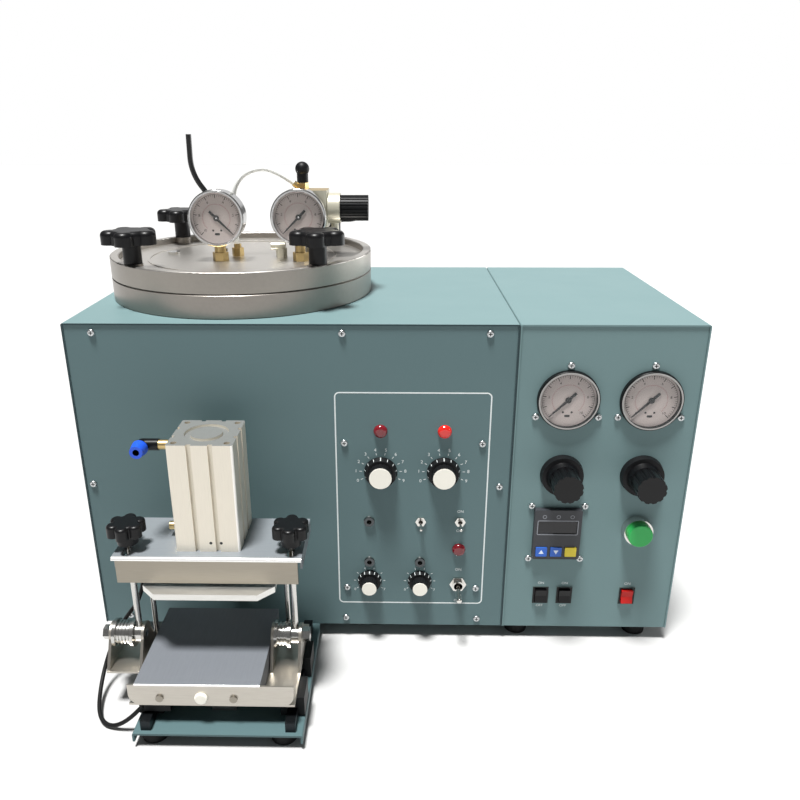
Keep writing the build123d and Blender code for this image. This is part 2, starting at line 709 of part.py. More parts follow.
def gauge_needle(place, face_y, rim, angle):
    """Pointer with a long thin end, a short stout tail and a hub on the pin."""
    reach = rim - rim_width - 3.0
    hub = Plane(origin=(place[0], face_y + dial_depth - needle_lift, place[1]),
                x_dir=(cos(radians(angle)), 0, sin(radians(angle))), z_dir=(0, -1, 0))
    with BuildPart() as needle:
        with BuildSketch(hub):
            with BuildLine():
                Polyline((-reach * 0.42, -1.3), (-reach * 0.42, 1.3), (0, 1.3), (reach, 0.35),
                         (reach, -0.35), (0, -1.3), close=True)
            make_face()
            Circle(needle_hub)
            Circle(needle_pin + bearing_gap, mode=Mode.SUBTRACT)
        extrude(amount=needle_sheet)
    return needle.part


def panel_gauge(place):
    """Gauge held by a flange behind the panel."""
    cup = gauge_cup(place, front_y - gauge_proud, gauge_rim, gauge_case, gauge_case_depth + gauge_proud)
    with BuildPart() as gauge:
        add(cup.part)
        with BuildSketch(facing(panel_back)):
            with Locations(place):
                Circle(gauge_flange_radius)
                with PolarLocations(gauge_screw_circle, 3, start_angle=90):
                    Circle(screw_radius + hole_gap, mode=Mode.SUBTRACT)
        extrude(amount=-gauge_flange_sheet)
    return gauge.part


with BuildPart() as panel_gauges:
    add([panel_gauge(place) for place in gauge_places])
    add([gauge_glass(place, front_y - gauge_proud, gauge_rim) for place in gauge_places])
panel_gauges.part.label = "panel_gauges"
export_step(panel_gauges.part, "parts/panel_gauges.step")

for name, place in zip(["forward_needle", "clamp_needle"], gauge_places):
    needle = gauge_needle(place, front_y - gauge_proud, gauge_rim, needle_angle_panel)
    needle.label = name
    export_step(needle, f"parts/{name}.step")

# ---------------------------------------------------------------- panel regulators
ring_nut, ring_nut_height = 21.5, 7.0
regulator_body, regulator_depth = 18.0, 42.0
spindle_radius, spindle_length = 6.0, 24.0
regulator_knob_radius = 14.4
regulator_knob_end = 34.5  # in front of the panel

with BuildPart() as panel_regulators:
    with BuildSketch(facing(front_y)):
        with Locations(*regulator_places):
            Circle(ring_nut)
    extrude(amount=ring_nut_height, taper=8)
    with BuildSketch(facing(panel_back)):
        with Locations(*regulator_places):
            Circle(regulator_neck)
    extrude(amount=sheet)
    with BuildSketch(facing(panel_back)):
        with Locations(*regulator_places):
            Circle(regulator_body)
    extrude(amount=-regulator_depth)
    with BuildSketch(facing(front_y - ring_nut_height)):
        with Locations(*regulator_places):
            Circle(spindle_radius)
    extrude(amount=spindle_length)
panel_regulators.part.label = "panel_regulators"
export_step(panel_regulators.part, "parts/panel_regulators.step")

for name, place in zip(["forward_pressure_knob", "clamp_pressure_knob"], regulator_places):
    knob_root = front_y - ring_nut_height - moving_gap
    with BuildPart() as pressure_knob:
        with BuildSketch(facing(knob_root)):
            with Locations(place):
                Circle(regulator_knob_radius + 2.0)
        extrude(amount=6.0, taper=20)
        with BuildSketch(facing(knob_root)):
            with Locations(place):
                Circle(regulator_knob_radius)
                with PolarLocations(regulator_knob_radius + 1.2, 12):
                    Circle(2.2, mode=Mode.SUBTRACT)
        extrude(amount=knob_root - front_y + regulator_knob_end)
        with BuildSketch(facing(knob_root)):
            with Locations(place):
                Circle(spindle_radius + bearing_gap)
        extrude(amount=spindle_length + 0.5, mode=Mode.SUBTRACT)
    pressure_knob.part.label = name
    export_step(pressure_knob.part, f"parts/{name}.step")

# ---------------------------------------------------------------- timer
timer_proud = 6.0
timer_depth = 60.0
key_width, key_height = 11.6, 10.5
key_pitch = 15.0
key_drop = 19.5           # keys below the timer's middle
key_travel = 0.8
key_sheet = 3.0
key_proud = 1.0
display_width, display_height = 39.0, 14.0
display_rise = 8.5
key_places = [(timer_place[0] + step * key_pitch, timer_place[1] - key_drop) for step in (-1, 0, 1)]

with BuildPart() as timer_body:
    with BuildSketch(facing(front_y)):
        with Locations(timer_place):
            RectangleRounded(timer_width, timer_height, 2.0)
    extrude(amount=timer_proud)
    with BuildSketch(facing(front_y)):
        with Locations(timer_place):
            Rectangle(timer_body_width, timer_body_height)
    extrude(amount=-timer_depth)
    with BuildSketch(facing(front_y - timer_proud)):
        with Locations((timer_place[0], timer_place[1] + display_rise)):
            Rectangle(display_width, display_height)
        with Locations(*key_places):
            Rectangle(key_width + 2 * moving_gap, key_height + 2 * moving_gap)
    extrude(amount=-0.8, mode=Mode.SUBTRACT)
    with BuildSketch(facing(front_y - timer_proud)):
        with Locations(*key_places):
            Rectangle(key_width + 2 * moving_gap, key_height + 2 * moving_gap)
    extrude(amount=-(key_sheet - key_proud + key_travel + moving_gap), mode=Mode.SUBTRACT)
timer_body.part.label = "timer_body"
export_step(timer_body.part, "parts/timer_body.step")

for name, place in zip(["timer_up_key", "timer_down_key", "timer_set_key"], key_places):
    with BuildPart() as timer_key:
        with BuildSketch(facing(front_y - timer_proud - key_proud)):
            with Locations(place):
                RectangleRounded(key_width, key_height, 0.8)
        extrude(amount=-key_sheet)
    timer_key.part.label = name
    export_step(timer_key.part, f"parts/{name}.step")

# ---------------------------------------------------------------- rear connectors
air_body, air_nut = 6.0, 8.5
inlet_well = 18.0

with BuildPart() as rear_connectors:
    with BuildSketch(facing(rear_y)):
        with Locations(socket_place):
            RectangleRounded(socket_width, socket_height, 3.0)
    extrude(amount=-3.0)
    with BuildSketch(facing(rear_y)):
        with Locations(socket_place):
            Rectangle(socket_width - 8.0, socket_height - 4.0)
    extrude(amount=24.0)
    with BuildSketch(facing(rear_y + 3.0)):
        with Locations(socket_place):
            RectangleRounded(24.0, 17.0, 3.0)
    extrude(amount=inlet_well, mode=Mode.SUBTRACT)
    with BuildSketch(facing(rear_y - sheet - 6.0)):
        with Locations(*air_inlets):
            Circle(air_thread)
    extrude(amount=-(sheet + 6.0))
    with BuildSketch(facing(rear_y)):
        with Locations(*air_inlets):
            RegularPolygon(air_nut, 6)
    extrude(amount=-6.0)
    with BuildSketch(facing(rear_y)):
        with Locations(*air_inlets):
            Circle(air_body)
    extrude(amount=-rear_reach)
    with BuildSketch(facing(rear_y + rear_reach)):
        with Locations(*air_inlets):
            Circle(3.0)
    extrude(amount=rear_reach - 2.0, mode=Mode.SUBTRACT)
rear_connectors.part.label = "rear_connectors"
export_step(rear_connectors.part, "parts/rear_connectors.step")

# ---------------------------------------------------------------- rails and drive under the carriage
rail_inset = 11.5         # rail middle from the base plate's side
rail_spread = base_plate_width / 2 - rail_inset
rail_width, rail_height = 9.0, 10.0
rail_front, rail_back = base_plate_front + 4.0, front_y - 8.0
drive_axis = 27.0
drive_radius, drive_bore, drive_rod = 9.0, 7.0, 3.0
drive_front = base_plate_front + 30.0
drive_cap, drive_cap_width = 10.0, 22.0
drive_piston_start = drive_front + 44.0
drive_end_room = 20.0     # piston and end cap beyond the stroke
drive_back = drive_piston_start + carriage_travel + drive_end_room
carriage_floor = 38.0
carriage_sheet = 2.0

with BuildPart() as carriage_drive:
    with BuildSketch(Plane.XY.offset(base_plate_top)):
        with Locations((base_plate_x, (rail_front + rail_back) / 2)):
            with GridLocations(2 * rail_spread, 0, 2, 1):
                Rectangle(rail_width, rail_back - rail_front)
    extrude(amount=rail_height)
    with BuildSketch(Plane.XY.offset(base_plate_top)):
        with Locations((base_plate_x, (drive_front + drive_back) / 2)):
            with GridLocations(0, drive_back - drive_front - drive_cap, 1, 2):
                Rectangle(drive_cap_width, drive_cap)
    extrude(amount=carriage_floor - base_plate_top - 1.0)
    with BuildSketch(facing(drive_back)):
        with Locations((base_plate_x, drive_axis)):
            Circle(drive_radius)
    extrude(amount=drive_back - drive_front)
    with BuildSketch(facing(drive_back - drive_cap)):
        with Locations((base_plate_x, drive_axis)):
            Circle(drive_bore)
    extrude(amount=drive_back - drive_front - 2 * drive_cap, mode=Mode.SUBTRACT)
    with BuildSketch(facing(drive_back)):
        with Locations((base_plate_x, drive_axis)):
            Circle(drive_rod + bearing_gap)
    extrude(amount=drive_cap, mode=Mode.SUBTRACT)
carriage_drive.part.label = "carriage_drive"
export_step(carriage_drive.part, "parts/carriage_drive.step")

# ---------------------------------------------------------------- carriage
eye_width = 7.0
bolt_spread = 75.5        # tie bolts each side of the clamp head's axis
spool_outer_spread = 90.0  # spool's outer end from the middle between the axles
spool_inner_spread = 65.5
cheek_sheet = 2.7
seat_gap = 0.3            # between neighbours on an axle
axle_radius = 4.0
cheek_round = 11.0
cheek_base = 25.0
front_plate_y = front_y - front_plate_reach
front_plate_left, front_plate_right = upper_x - 67.3, upper_x + 81.5
front_plate_corner = 12.0
tray_sheet = 2.0
floor_back = front_y - 33.0
lug_width, lug_sheet = 20.0, 4.0
left_eye = upper_x - bolt_spread
right_eye = upper_x + bolt_spread
left_outer_cheek = axle_x - spool_outer_spread - seat_gap - cheek_sheet
left_inner_cheek = left_eye + eye_width / 2 + seat_gap
right_inner_cheek = axle_x + spool_inner_spread - seat_gap - cheek_sheet
right_outer_cheek = right_eye + eye_width / 2 + seat_gap
carriage_floor_top = carriage_floor + carriage_sheet
carriage_right = right_outer_cheek + cheek_sheet
piston_length = 6.0
plug_hole, plug_place = 4.0, (upper_x - 1.5, 46.7)
trim_screws = [(upper_x - 39.0, 46.2), (upper_x + 27.5, 46.2)]

with BuildPart() as carriage_frame:
    with BuildSketch(Plane.XY.offset(carriage_floor)):
        with Locations(((front_plate_left + carriage_right) / 2, (front_plate_y + floor_back) / 2)):
            Rectangle(carriage_right - front_plate_left, floor_back - front_plate_y)
        with Locations(((left_outer_cheek + front_plate_left) / 2, axle_y)):
            Rectangle(front_plate_left - left_outer_cheek, 2 * cheek_base + 2.0)
    extrude(amount=carriage_sheet)
    with BuildSketch(facing(front_plate_y)) as front_plate:
        with Locations(((front_plate_left + front_plate_right) / 2, (carriage_floor + tray_top - tray_sheet) / 2)):
            Rectangle(front_plate_right - front_plate_left, tray_top - tray_sheet - carriage_floor)
        fillet(front_plate.vertices().group_by(Axis.Y)[0], radius=front_plate_corner)
        with Locations(plug_place):
            Circle(plug_hole, mode=Mode.SUBTRACT)
        with Locations(*trim_screws):
            Circle(screw_radius + hole_gap, mode=Mode.SUBTRACT)
    extrude(amount=-carriage_sheet)
    for side in (left_outer_cheek, left_inner_cheek, right_inner_cheek, right_outer_cheek):
        with BuildSketch(Plane.YZ.offset(side)):
            with BuildLine():
                Polyline((axle_y - cheek_base, carriage_floor_top), (axle_y - cheek_round, axle_height),
                         (axle_y + cheek_round, axle_height), (axle_y + cheek_base, carriage_floor_top), close=True)
            make_face()
            with Locations((axle_y, axle_height)):
                Circle(cheek_round)
                Circle(axle_radius + bearing_gap, mode=Mode.SUBTRACT)
        extrude(amount=cheek_sheet)
    with BuildSketch(facing(floor_back)):
        with Locations((base_plate_x, (carriage_floor + drive_axis - 6.0) / 2)):
            Rectangle(lug_width, carriage_floor - drive_axis + 6.0)
    extrude(amount=lug_sheet)
    with BuildSketch(facing(floor_back - lug_sheet)):
        with Locations((base_plate_x, drive_axis)):
            Circle(drive_rod)
    extrude(amount=floor_back - lug_sheet - drive_piston_start)
    with BuildSketch(facing(drive_piston_start)):
        with Locations((base_plate_x, drive_axis)):
            Circle(drive_bore - bearing_gap)
    extrude(amount=piston_length)
carriage_frame.part.label = "carriage_frame"
export_step(carriage_frame.part, "parts/carriage_frame.step")

tray_left = left_inner_cheek + cheek_sheet + 8.5
tray_right = right_inner_cheek - 1.0
tray_bead = 1.5
tray_back = front_y - 38.0

with BuildPart() as mould_tray:
    with BuildSketch(Plane.XY.offset(tray_top - tray_sheet)):
        with Locations(((tray_left + tray_right) / 2, (front_plate_y - tray_bead + tray_back) / 2)):
            Rectangle(tray_right - tray_left, tray_back - front_plate_y + tray_bead)
    extrude(amount=tray_sheet)
    with BuildSketch(Plane.XY.offset(carriage_floor_top)):
        with Locations(((tray_left + tray_right) / 2, (front_plate_y + carriage_sheet + tray_back) / 2)):
            with GridLocations(tray_right - tray_left - tray_sheet, 0, 2, 1):
                Rectangle(tray_sheet, tray_back - front_plate_y - carriage_sheet)
    extrude(amount=tray_top - tray_sheet - carriage_floor_top)
    fillet(mould_tray.edges().filter_by(Axis.X).group_by(Axis.Y)[0], radius=tray_sheet * 0.45)
mould_tray.part.label = "mould_tray"
export_step(mould_tray.part, "parts/mould_tray.step")

block_width, block_length = 22.0, 28.0
block_lift = 2.0
block_middles = [base_plate_front + 37.0, base_plate_front + 89.0]

with BuildPart() as slide_blocks:
    with BuildSketch(Plane.XY.offset(base_plate_top + block_lift)):
        with Locations(*[(base_plate_x + side * rail_spread, middle) for side in (-1, 1) for middle in block_middles]):
            Rectangle(block_width, block_length)
    extrude(amount=carriage_floor - base_plate_top - block_lift)
    with BuildSketch(Plane.XY.offset(base_plate_top)):
        with Locations((base_plate_x, (rail_front + rail_back) / 2)):
            with GridLocations(2 * rail_spread, 0, 2, 1):
                Rectangle(rail_width + 2 * moving_gap, rail_back - rail_front)
    extrude(amount=rail_height + moving_gap, mode=Mode.SUBTRACT)
slide_blocks.part.label = "slide_blocks"
export_step(slide_blocks.part, "parts/slide_blocks.step")

# ---------------------------------------------------------------- side axles, spools and tie bolts
spool_radius, spool_core = 13.5, 10.5
spool_flange = 3.0
groove_pitch = 3.2
head_radius, head_length = 7.0, 7.5
left_spool = (axle_x - spool_outer_spread, left_eye - eye_width / 2 - seat_gap)
right_spool = (axle_x + spool_inner_spread, right_eye - eye_width / 2 - seat_gap)


def spool(start, end):
    """Turned spacer with two flanges and fine rings between them."""
    with BuildPart() as body:
        with BuildSketch(Plane.YZ.offset(start)):
            with Locations((axle_y, axle_height)):
                Circle(spool_core)
        extrude(amount=end - start)
        for face in (start, end - spool_flange):
            with BuildSketch(Plane.YZ.offset(face)):
                with Locations((axle_y, axle_height)):
                    Circle(spool_radius)
            extrude(amount=spool_flange)
        ring = start + spool_flange + groove_pitch / 2
        while ring + groove_pitch / 2 < end - spool_flange:
            with BuildSketch(Plane.YZ.offset(ring)):
                with Locations((axle_y, axle_height)):
                    Circle(spool_core + 1.2)
            extrude(amount=groove_pitch / 2)
            ring += groove_pitch
        with BuildSketch(Plane.YZ.offset(start)):
            with Locations((axle_y, axle_height)):
                Circle(axle_radius + bearing_gap)
        extrude(amount=end - start, mode=Mode.SUBTRACT)
    return body.part


def axle_bolt(head_face, outwards, length):
    """Hexagon bolt along X, its head against the outer cheek."""
    with BuildPart() as bolt:
        with BuildSketch(Plane.YZ.offset(head_face)):
            with Locations((axle_y, axle_height)):
                RegularPolygon(head_radius, 6)
        extrude(amount=outwards * head_length)
        with BuildSketch(Plane.YZ.offset(head_face)):
            with Locations((axle_y, axle_height)):
                Circle(axle_radius)
        extrude(amount=-outwards * length)
    return bolt.part


with BuildPart() as side_axles:
    add([spool(*left_spool), spool(*right_spool)])
    add(axle_bolt(left_outer_cheek, -1, left_inner_cheek + cheek_sheet - left_outer_cheek))
    add(axle_bolt(carriage_right, 1, carriage_right - right_inner_cheek))
side_axles.part.label = "side_axles"
export_step(side_axles.part, "parts/side_axles.step")

bolt_radius = 3.0
eye_radius = 9.0
star_gap = 6.0            # star knob above the bridge
star_height, star_hub_height = 21.5, 9.5
stud_in_knob = 14.0
post_radius = 2.5
post_spread = 66.0
post_y = front_y - 64.0
bridge_bottom = bridge_top - bridge_sheet

with BuildPart() as tie_rods:
    for eye in (left_eye, right_eye):
        with BuildSketch(Plane.YZ.offset(eye - eye_width / 2)):
            with Locations((axle_y, axle_height)):
                Circle(eye_radius)
        extrude(amount=eye_width)
        with BuildSketch(Plane.XY.offset(axle_height)):
            with Locations((eye, axle_y)):
                Circle(bolt_radius)
        extrude(amount=bridge_top + star_gap + stud_in_knob - axle_height)
    with BuildSketch(Plane.YZ.offset(left_eye - eye_width)):
        with Locations((axle_y, axle_height)):
            Circle(axle_radius + bearing_gap)
    extrude(amount=right_eye - left_eye + 2 * eye_width, mode=Mode.SUBTRACT)
    with BuildSketch(Plane.XY.offset(carriage_floor_top)):
        with Locations((upper_x - post_spread, post_y), (upper_x + post_spread, post_y)):
            Circle(post_radius)
    extrude(amount=bridge_bottom - carriage_floor_top)
tie_rods.part.label = "tie_rods"
export_step(tie_rods.part, "parts/tie_rods.step")

# ---------------------------------------------------------------- bridge plate
lip_half_width = 83.0
side_hook = 14.0
side_hook_front = 7.0
slot_width = 2 * (bolt_radius + moving_gap)
slot_front, slot_behind = 4.0, 5.0
cylinder_y = front_y - cylinder_axis_reach
clamp_rod = 8.0
bridge_front_y = front_y - bridge_front
bridge_back_y = front_y - bridge_back

with BuildPart() as bridge:
    with BuildSketch(Plane.XY.offset(bridge_bottom)):
        with Locations((upper_x, (bridge_front_y + bridge_back_y) / 2)):
            Rectangle(bridge_width, bridge_back_y - bridge_front_y)
    extrude(amount=bridge_sheet)
    with BuildSketch(Plane.XY.offset(bridge_top - bridge_lip)):
        with Locations((upper_x, bridge_front_y + bridge_sheet / 2)):
            Rectangle(2 * lip_half_width, bridge_sheet)
    extrude(amount=bridge_lip)
    with BuildSketch(Plane.XY.offset(bridge_top - side_hook)):
        with Locations((upper_x, (bridge_front_y + side_hook_front + bridge_back_y) / 2)):
            with GridLocations(bridge_width - bridge_sheet * 0.8, 0, 2, 1):
                Rectangle(bridge_sheet * 0.8, bridge_back_y - bridge_front_y - side_hook_front)
    extrude(amount=side_hook)
    fillet(bridge.edges().filter_by(Axis.X).group_by(Axis.Y)[0].group_by(Axis.Z)[-1], radius=bridge_sheet * 0.9)
    slot_start, slot_end = bridge_front_y + slot_front, axle_y + slot_behind
    with BuildSketch(Plane.XY.offset(bridge_top)):
        with Locations((upper_x, (slot_start + slot_end) / 2)):
            with GridLocations(2 * bolt_spread, 0, 2, 1):
                SlotOverall(slot_end - slot_start, slot_width, rotation=90)
        with Locations((upper_x, cylinder_y)):
            Circle(clamp_rod + 1.0)
    extrude(amount=-bridge_sheet, mode=Mode.SUBTRACT)
bridge.part.label = "bridge"
export_step(bridge.part, "parts/bridge.step")

# ---------------------------------------------------------------- clamp cylinder and its head
cylinder_nose = 12.0
cylinder_cap = 16.0
piston_radius, piston_height = 20.0, 10.0
piston_rest_gap = 4.0
sensor_groove, sensor_groove_depth = 4.2, 2.6
sensor_spread = 9.5
cap_recess_radius, cap_recess = 20.0, 2.5
mount_hole, mount_inset = 2.8, 6.0
cylinder_top = bridge_top + cylinder_height

with BuildPart() as clamp_cylinder:
    with BuildSketch(Plane.XY.offset(bridge_top)):
        with Locations((upper_x, cylinder_y)):
            RectangleRounded(cylinder_side, cylinder_side, 2.0)
            with GridLocations(2 * sensor_spread, cylinder_side, 2, 2):
                Rectangle(sensor_groove, 2 * sensor_groove_depth, mode=Mode.SUBTRACT)
            with GridLocations(cylinder_side, 2 * sensor_spread, 2, 2):
                Rectangle(2 * sensor_groove_depth, sensor_groove, mode=Mode.SUBTRACT)
            with GridLocations(cylinder_side - 2 * mount_inset, cylinder_side - 2 * mount_inset, 2, 2):
                Circle(mount_hole, mode=Mode.SUBTRACT)
    extrude(amount=cylinder_height)
    with BuildSketch(Plane.XY.offset(bridge_top + cylinder_nose)):
        with Locations((upper_x, cylinder_y)):
            Circle(piston_radius + bearing_gap)
    extrude(amount=cylinder_height - cylinder_nose - cylinder_cap, mode=Mode.SUBTRACT)
    with BuildSketch(Plane.XY.offset(bridge_top)):
        with Locations((upper_x, cylinder_y)):
            Circle(clamp_rod + bearing_gap)
    extrude(amount=cylinder_nose, mode=Mode.SUBTRACT)
    with BuildSketch(Plane.XY.offset(cylinder_top)):
        with Locations((upper_x, cylinder_y)):
            Circle(cap_recess_radius)
            Circle(cap_recess_radius * 0.72, mode=Mode.SUBTRACT)
    extrude(amount=-cap_recess, mode=Mode.SUBTRACT)
clamp_cylinder.part.label = "clamp_cylinder"
export_step(clamp_cylinder.part, "parts/clamp_cylinder.step")

clamp_plate_half = 61.0
clamp_plate_front, clamp_plate_back = front_y - 112.0, front_y - 45.0
clamp_plate_corner = 14.0
clamp_plate_top = clamp_plate_bottom + clamp_plate_thickness
piston_top = cylinder_top - cylinder_cap - piston_rest_gap

with BuildPart() as clamp_head:
    with BuildSketch(Plane.XY.offset(clamp_plate_bottom)) as plate:
        with Locations((upper_x, (clamp_plate_front + clamp_plate_back) / 2)):
            Rectangle(2 * clamp_plate_half, clamp_plate_back - clamp_plate_front)
        chamfer(plate.vertices().group_by(Axis.Y)[0], length=clamp_plate_corner)
    extrude(amount=clamp_plate_thickness)
    with BuildSketch(Plane.XY.offset(clamp_plate_top)):
        with Locations((upper_x, cylinder_y)):
            Circle(clamp_rod)
    extrude(amount=piston_top - clamp_plate_top)
    with BuildSketch(Plane.XY.offset(piston_top - piston_height)):
        with Locations((upper_x, cylinder_y)):
            Circle(piston_radius)
    extrude(amount=piston_height)
clamp_head.part.label = "clamp_head"
export_step(clamp_head.part, "parts/clamp_head.step")

# ---------------------------------------------------------------- air fittings on the cylinder
port_radius, elbow_radius, collar_radius = 4.5, 5.5, 7.5
upper_port = cylinder_top - 12.0
lower_port = bridge_top + 10.5
collar_length, collar_hole = 11.0, 3.0
cylinder_left = upper_x - cylinder_side / 2
elbow_x = cylinder_left - 30.0

with BuildPart() as air_fittings:
    with BuildSketch(Plane.YZ.offset(cylinder_left)):
        with Locations((cylinder_y, upper_port)):
            Circle(port_radius)
    extrude(amount=-15.0)
    with BuildSketch(Plane.YZ.offset(cylinder_left - 15.0)):
        with Locations((cylinder_y, upper_port)):
            Circle(elbow_radius)
    extrude(amount=-15.0)
    with Locations((elbow_x, cylinder_y, upper_port)):
        Sphere(elbow_radius)
    with BuildSketch(facing(cylinder_y)):
        with Locations((elbow_x, upper_port)):
            Circle(elbow_radius)
    extrude(amount=8.0)
    with BuildSketch(facing(cylinder_y - 8.0)):
        with Locations((elbow_x, upper_port)):
            Circle(collar_radius)
    extrude(amount=collar_length, taper=8)
    with BuildSketch(facing(cylinder_y - 8.0 - collar_length)):
        with Locations((elbow_x, upper_port)):
            Circle(collar_hole)
    extrude(amount=-(collar_length + 4.0), mode=Mode.SUBTRACT)
    with BuildSketch(Plane.YZ.offset(cylinder_left)):
        with Locations((cylinder_y, lower_port)):
            RegularPolygon(port_radius + 1.5, 6)
    extrude(amount=-8.0)
    with BuildSketch(Plane.YZ.offset(cylinder_left - 8.0)):
        with Locations((cylinder_y, lower_port)):
            Circle(port_radius - 0.5)
    extrude(amount=-5.0)
air_fittings.part.label = "air_fittings"
export_step(air_fittings.part, "parts/air_fittings.step")


# ---------------------------------------------------------------- star knobs
def star_profile(radius, lobes):
    """Round-lobed star with one lobe to the front, drawn about the current location."""
    Circle(radius * 0.74)
    with PolarLocations(radius * 0.66, lobes, start_angle=270):
        Circle(radius * 0.34)


star_radius, star_hub = 17.5, 9.5
star_bottom = bridge_top + star_gap

for name, eye in (("left_star_knob", left_eye), ("right_star_knob", right_eye)):
    with BuildPart() as star_knob:
        with BuildSketch(Plane.XY.offset(star_bottom)):
            with Locations((eye, axle_y)):
                Circle(star_hub)
        extrude(amount=star_hub_height)
        with BuildSketch(Plane.XY.offset(star_bottom + star_hub_height)):
            with Locations((eye, axle_y)):
                star_profile(star_radius, 6)
        extrude(amount=star_height - star_hub_height)
        fillet(star_knob.edges().group_by(Axis.Z)[-1], radius=3.0)
        with BuildSketch(Plane.XY.offset(star_bottom)):
            with Locations((eye, axle_y)):
                Circle(bolt_radius + bearing_gap)
        extrude(amount=stud_in_knob + 0.5, mode=Mode.SUBTRACT)
    star_knob.part.label = name
    export_step(star_knob.part, f"parts/{name}.step")

# ---------------------------------------------------------------- carriage fittings
plug_radius, plug_height = 6.0, 2.5
junction_width, junction_depth, junction_height = 24.0, 7.5, 9.0
junction_x = front_plate_left + 24.0
junction_y = front_plate_y + carriage_sheet + 0.5 + junction_depth / 2

with BuildPart() as carriage_fittings:
    with BuildSketch(facing(front_plate_y)):
        with Locations(plug_place):
            Circle(plug_radius)
    extrude(amount=plug_height)
    fillet(carriage_fittings.edges().filter_by(GeomType.CIRCLE).group_by(Axis.Y)[0], radius=1.5)
    with BuildSketch(facing(front_plate_y)):
        with Locations(plug_place):
            Circle(plug_hole - hole_gap)
    extrude(amount=-carriage_sheet)
    with BuildSketch(facing(front_plate_y)):
        with Locations(*trim_screws):
            Circle(screw_head_radius)
    extrude(amount=screw_head_height * 0.7)
    with BuildSketch(facing(front_plate_y)):
        with Locations(*trim_screws):
            Circle(screw_radius)
    extrude(amount=-carriage_sheet - 1.0)
    with BuildSketch(Plane.XY.offset(carriage_floor - junction_height)):
        with Locations((junction_x, junction_y)):
            Rectangle(junction_width, junction_depth)
    extrude(amount=junction_height)
carriage_fittings.part.label = "carriage_fittings"
export_step(carriage_fittings.part, "parts/carriage_fittings.step")

# ---------------------------------------------------------------- lid
ridge_inner, ridge_outer, ridge_height = 100.0, 103.0, 0.8
stud_hole = lid_stud + 0.5
lid_boss = 9.5            # seat of a lid knob, as high as the rim

with BuildPart() as lid:
    with BuildSketch(Plane.XY.offset(lid_bottom)):
        with Locations((pot_x, pot_y)):
            Circle(flange_radius)
    extrude(amount=lid_height)
    with BuildSketch(Plane.XY.offset(lid_top)):
        with Locations((pot_x, pot_y)):
            Circle(flange_radius - lid_rim)
    extrude(amount=-lid_recess, mode=Mode.SUBTRACT)
    fillet(lid.edges().filter_by(GeomType.CIRCLE).group_by(Axis.Z)[-1], radius=1.2)
    chamfer(lid.edges().filter_by(GeomType.CIRCLE).group_by(Axis.Z)[0], length=seam_chamfer)
    with BuildSketch(Plane.XY.offset(lid_floor)):
        with Locations(*lid_knob_places):
            Circle(lid_boss)
    extrude(amount=lid_recess)
    with BuildSketch(Plane.XY.offset(lid_floor)):
        with Locations((pot_x, pot_y)):
            Circle(ridge_outer)
            Circle(ridge_inner, mode=Mode.SUBTRACT)
    extrude(amount=ridge_height)
    with BuildSketch(Plane.XY.offset(lid_bottom)):
        with Locations((pot_x, pot_y)):
            Circle(pot_radius - pot_wall - 0.5)
    extrude(amount=-lid_spigot_depth)
    with BuildSketch(Plane.XY.offset(lid_floor)):
        with Locations(*lid_knob_places):
            Circle(stud_hole)
    extrude(amount=-lid_height, both=True, mode=Mode.SUBTRACT)
lid.part.label = "lid"
export_step(lid.part, "parts/lid.step")

lid_knob_head, lid_knob_head_height = 28.0, 13.5
lid_knob_stem, lid_knob_stem_height = 9.0, 19.5
lid_knob_bottom = lid_top + moving_gap

for number, (x, y) in enumerate(lid_knob_places, start=1):
    with BuildPart() as lid_knob:
        with BuildSketch(Plane.XY.offset(lid_knob_bottom)):
            with Locations((x, y)):
                Circle(lid_knob_stem)
        extrude(amount=lid_knob_stem_height)
        with BuildSketch(Plane.XY.offset(lid_knob_bottom + lid_knob_stem_height)):
            with Locations((x, y)):
                star_profile(lid_knob_head, 5)
        extrude(amount=lid_knob_head_height)
        fillet(lid_knob.edges().group_by(Axis.Z)[-1], radius=5.0)
        with BuildSketch(Plane.XY.offset(lid_knob_bottom)):
            with Locations((x, y)):
                Circle(lid_stud)
        extrude(amount=-(lid_knob_bottom - flange_top + lid_stud_reach))
    lid_knob.part.label = f"lid_knob_{number}"
    export_step(lid_knob.part, f"parts/lid_knob_{number}.step")

# ---------------------------------------------------------------- gauges on the lid
lid_gauge_y = pot_y - 45.5
lid_gauge_places = [(pot_x - 18.0, 435.0), (pot_x + 67.8, 436.0)]
stem_y = lid_gauge_y + 12.0
stem_across, stem_foot_across, stem_foot_height = 6.0, 8.5, 9.0

with BuildPart() as lid_gauges:
    for place in lid_gauge_places:
        with BuildPart() as gauge_on_stem:
            add(gauge_cup(place, lid_gauge_y, lid_gauge_radius, lid_gauge_radius - 1.0, lid_gauge_depth).part)
            with BuildSketch(Plane.XY.offset(lid_floor)):
                with Locations((place[0], stem_y)):
                    RegularPolygon(stem_foot_across, 6)
            extrude(amount=stem_foot_height)
            with BuildSketch(Plane.XY.offset(lid_floor)):
                with Locations((place[0], stem_y)):
                    Circle(stem_across)
            extrude(amount=place[1] - lid_gauge_radius + 3.0 - lid_floor)
        add(gauge_on_stem.part)
        add(gauge_glass(place, lid_gauge_y, lid_gauge_radius))
lid_gauges.part.label = "lid_gauges"
export_step(lid_gauges.part, "parts/lid_gauges.step")

for name, place, angle in zip(["left_lid_needle", "right_lid_needle"], lid_gauge_places, lid_needle_angles):
    needle = gauge_needle(place, lid_gauge_y, lid_gauge_radius, angle)
    needle.label = name
    export_step(needle, f"parts/{name}.step")

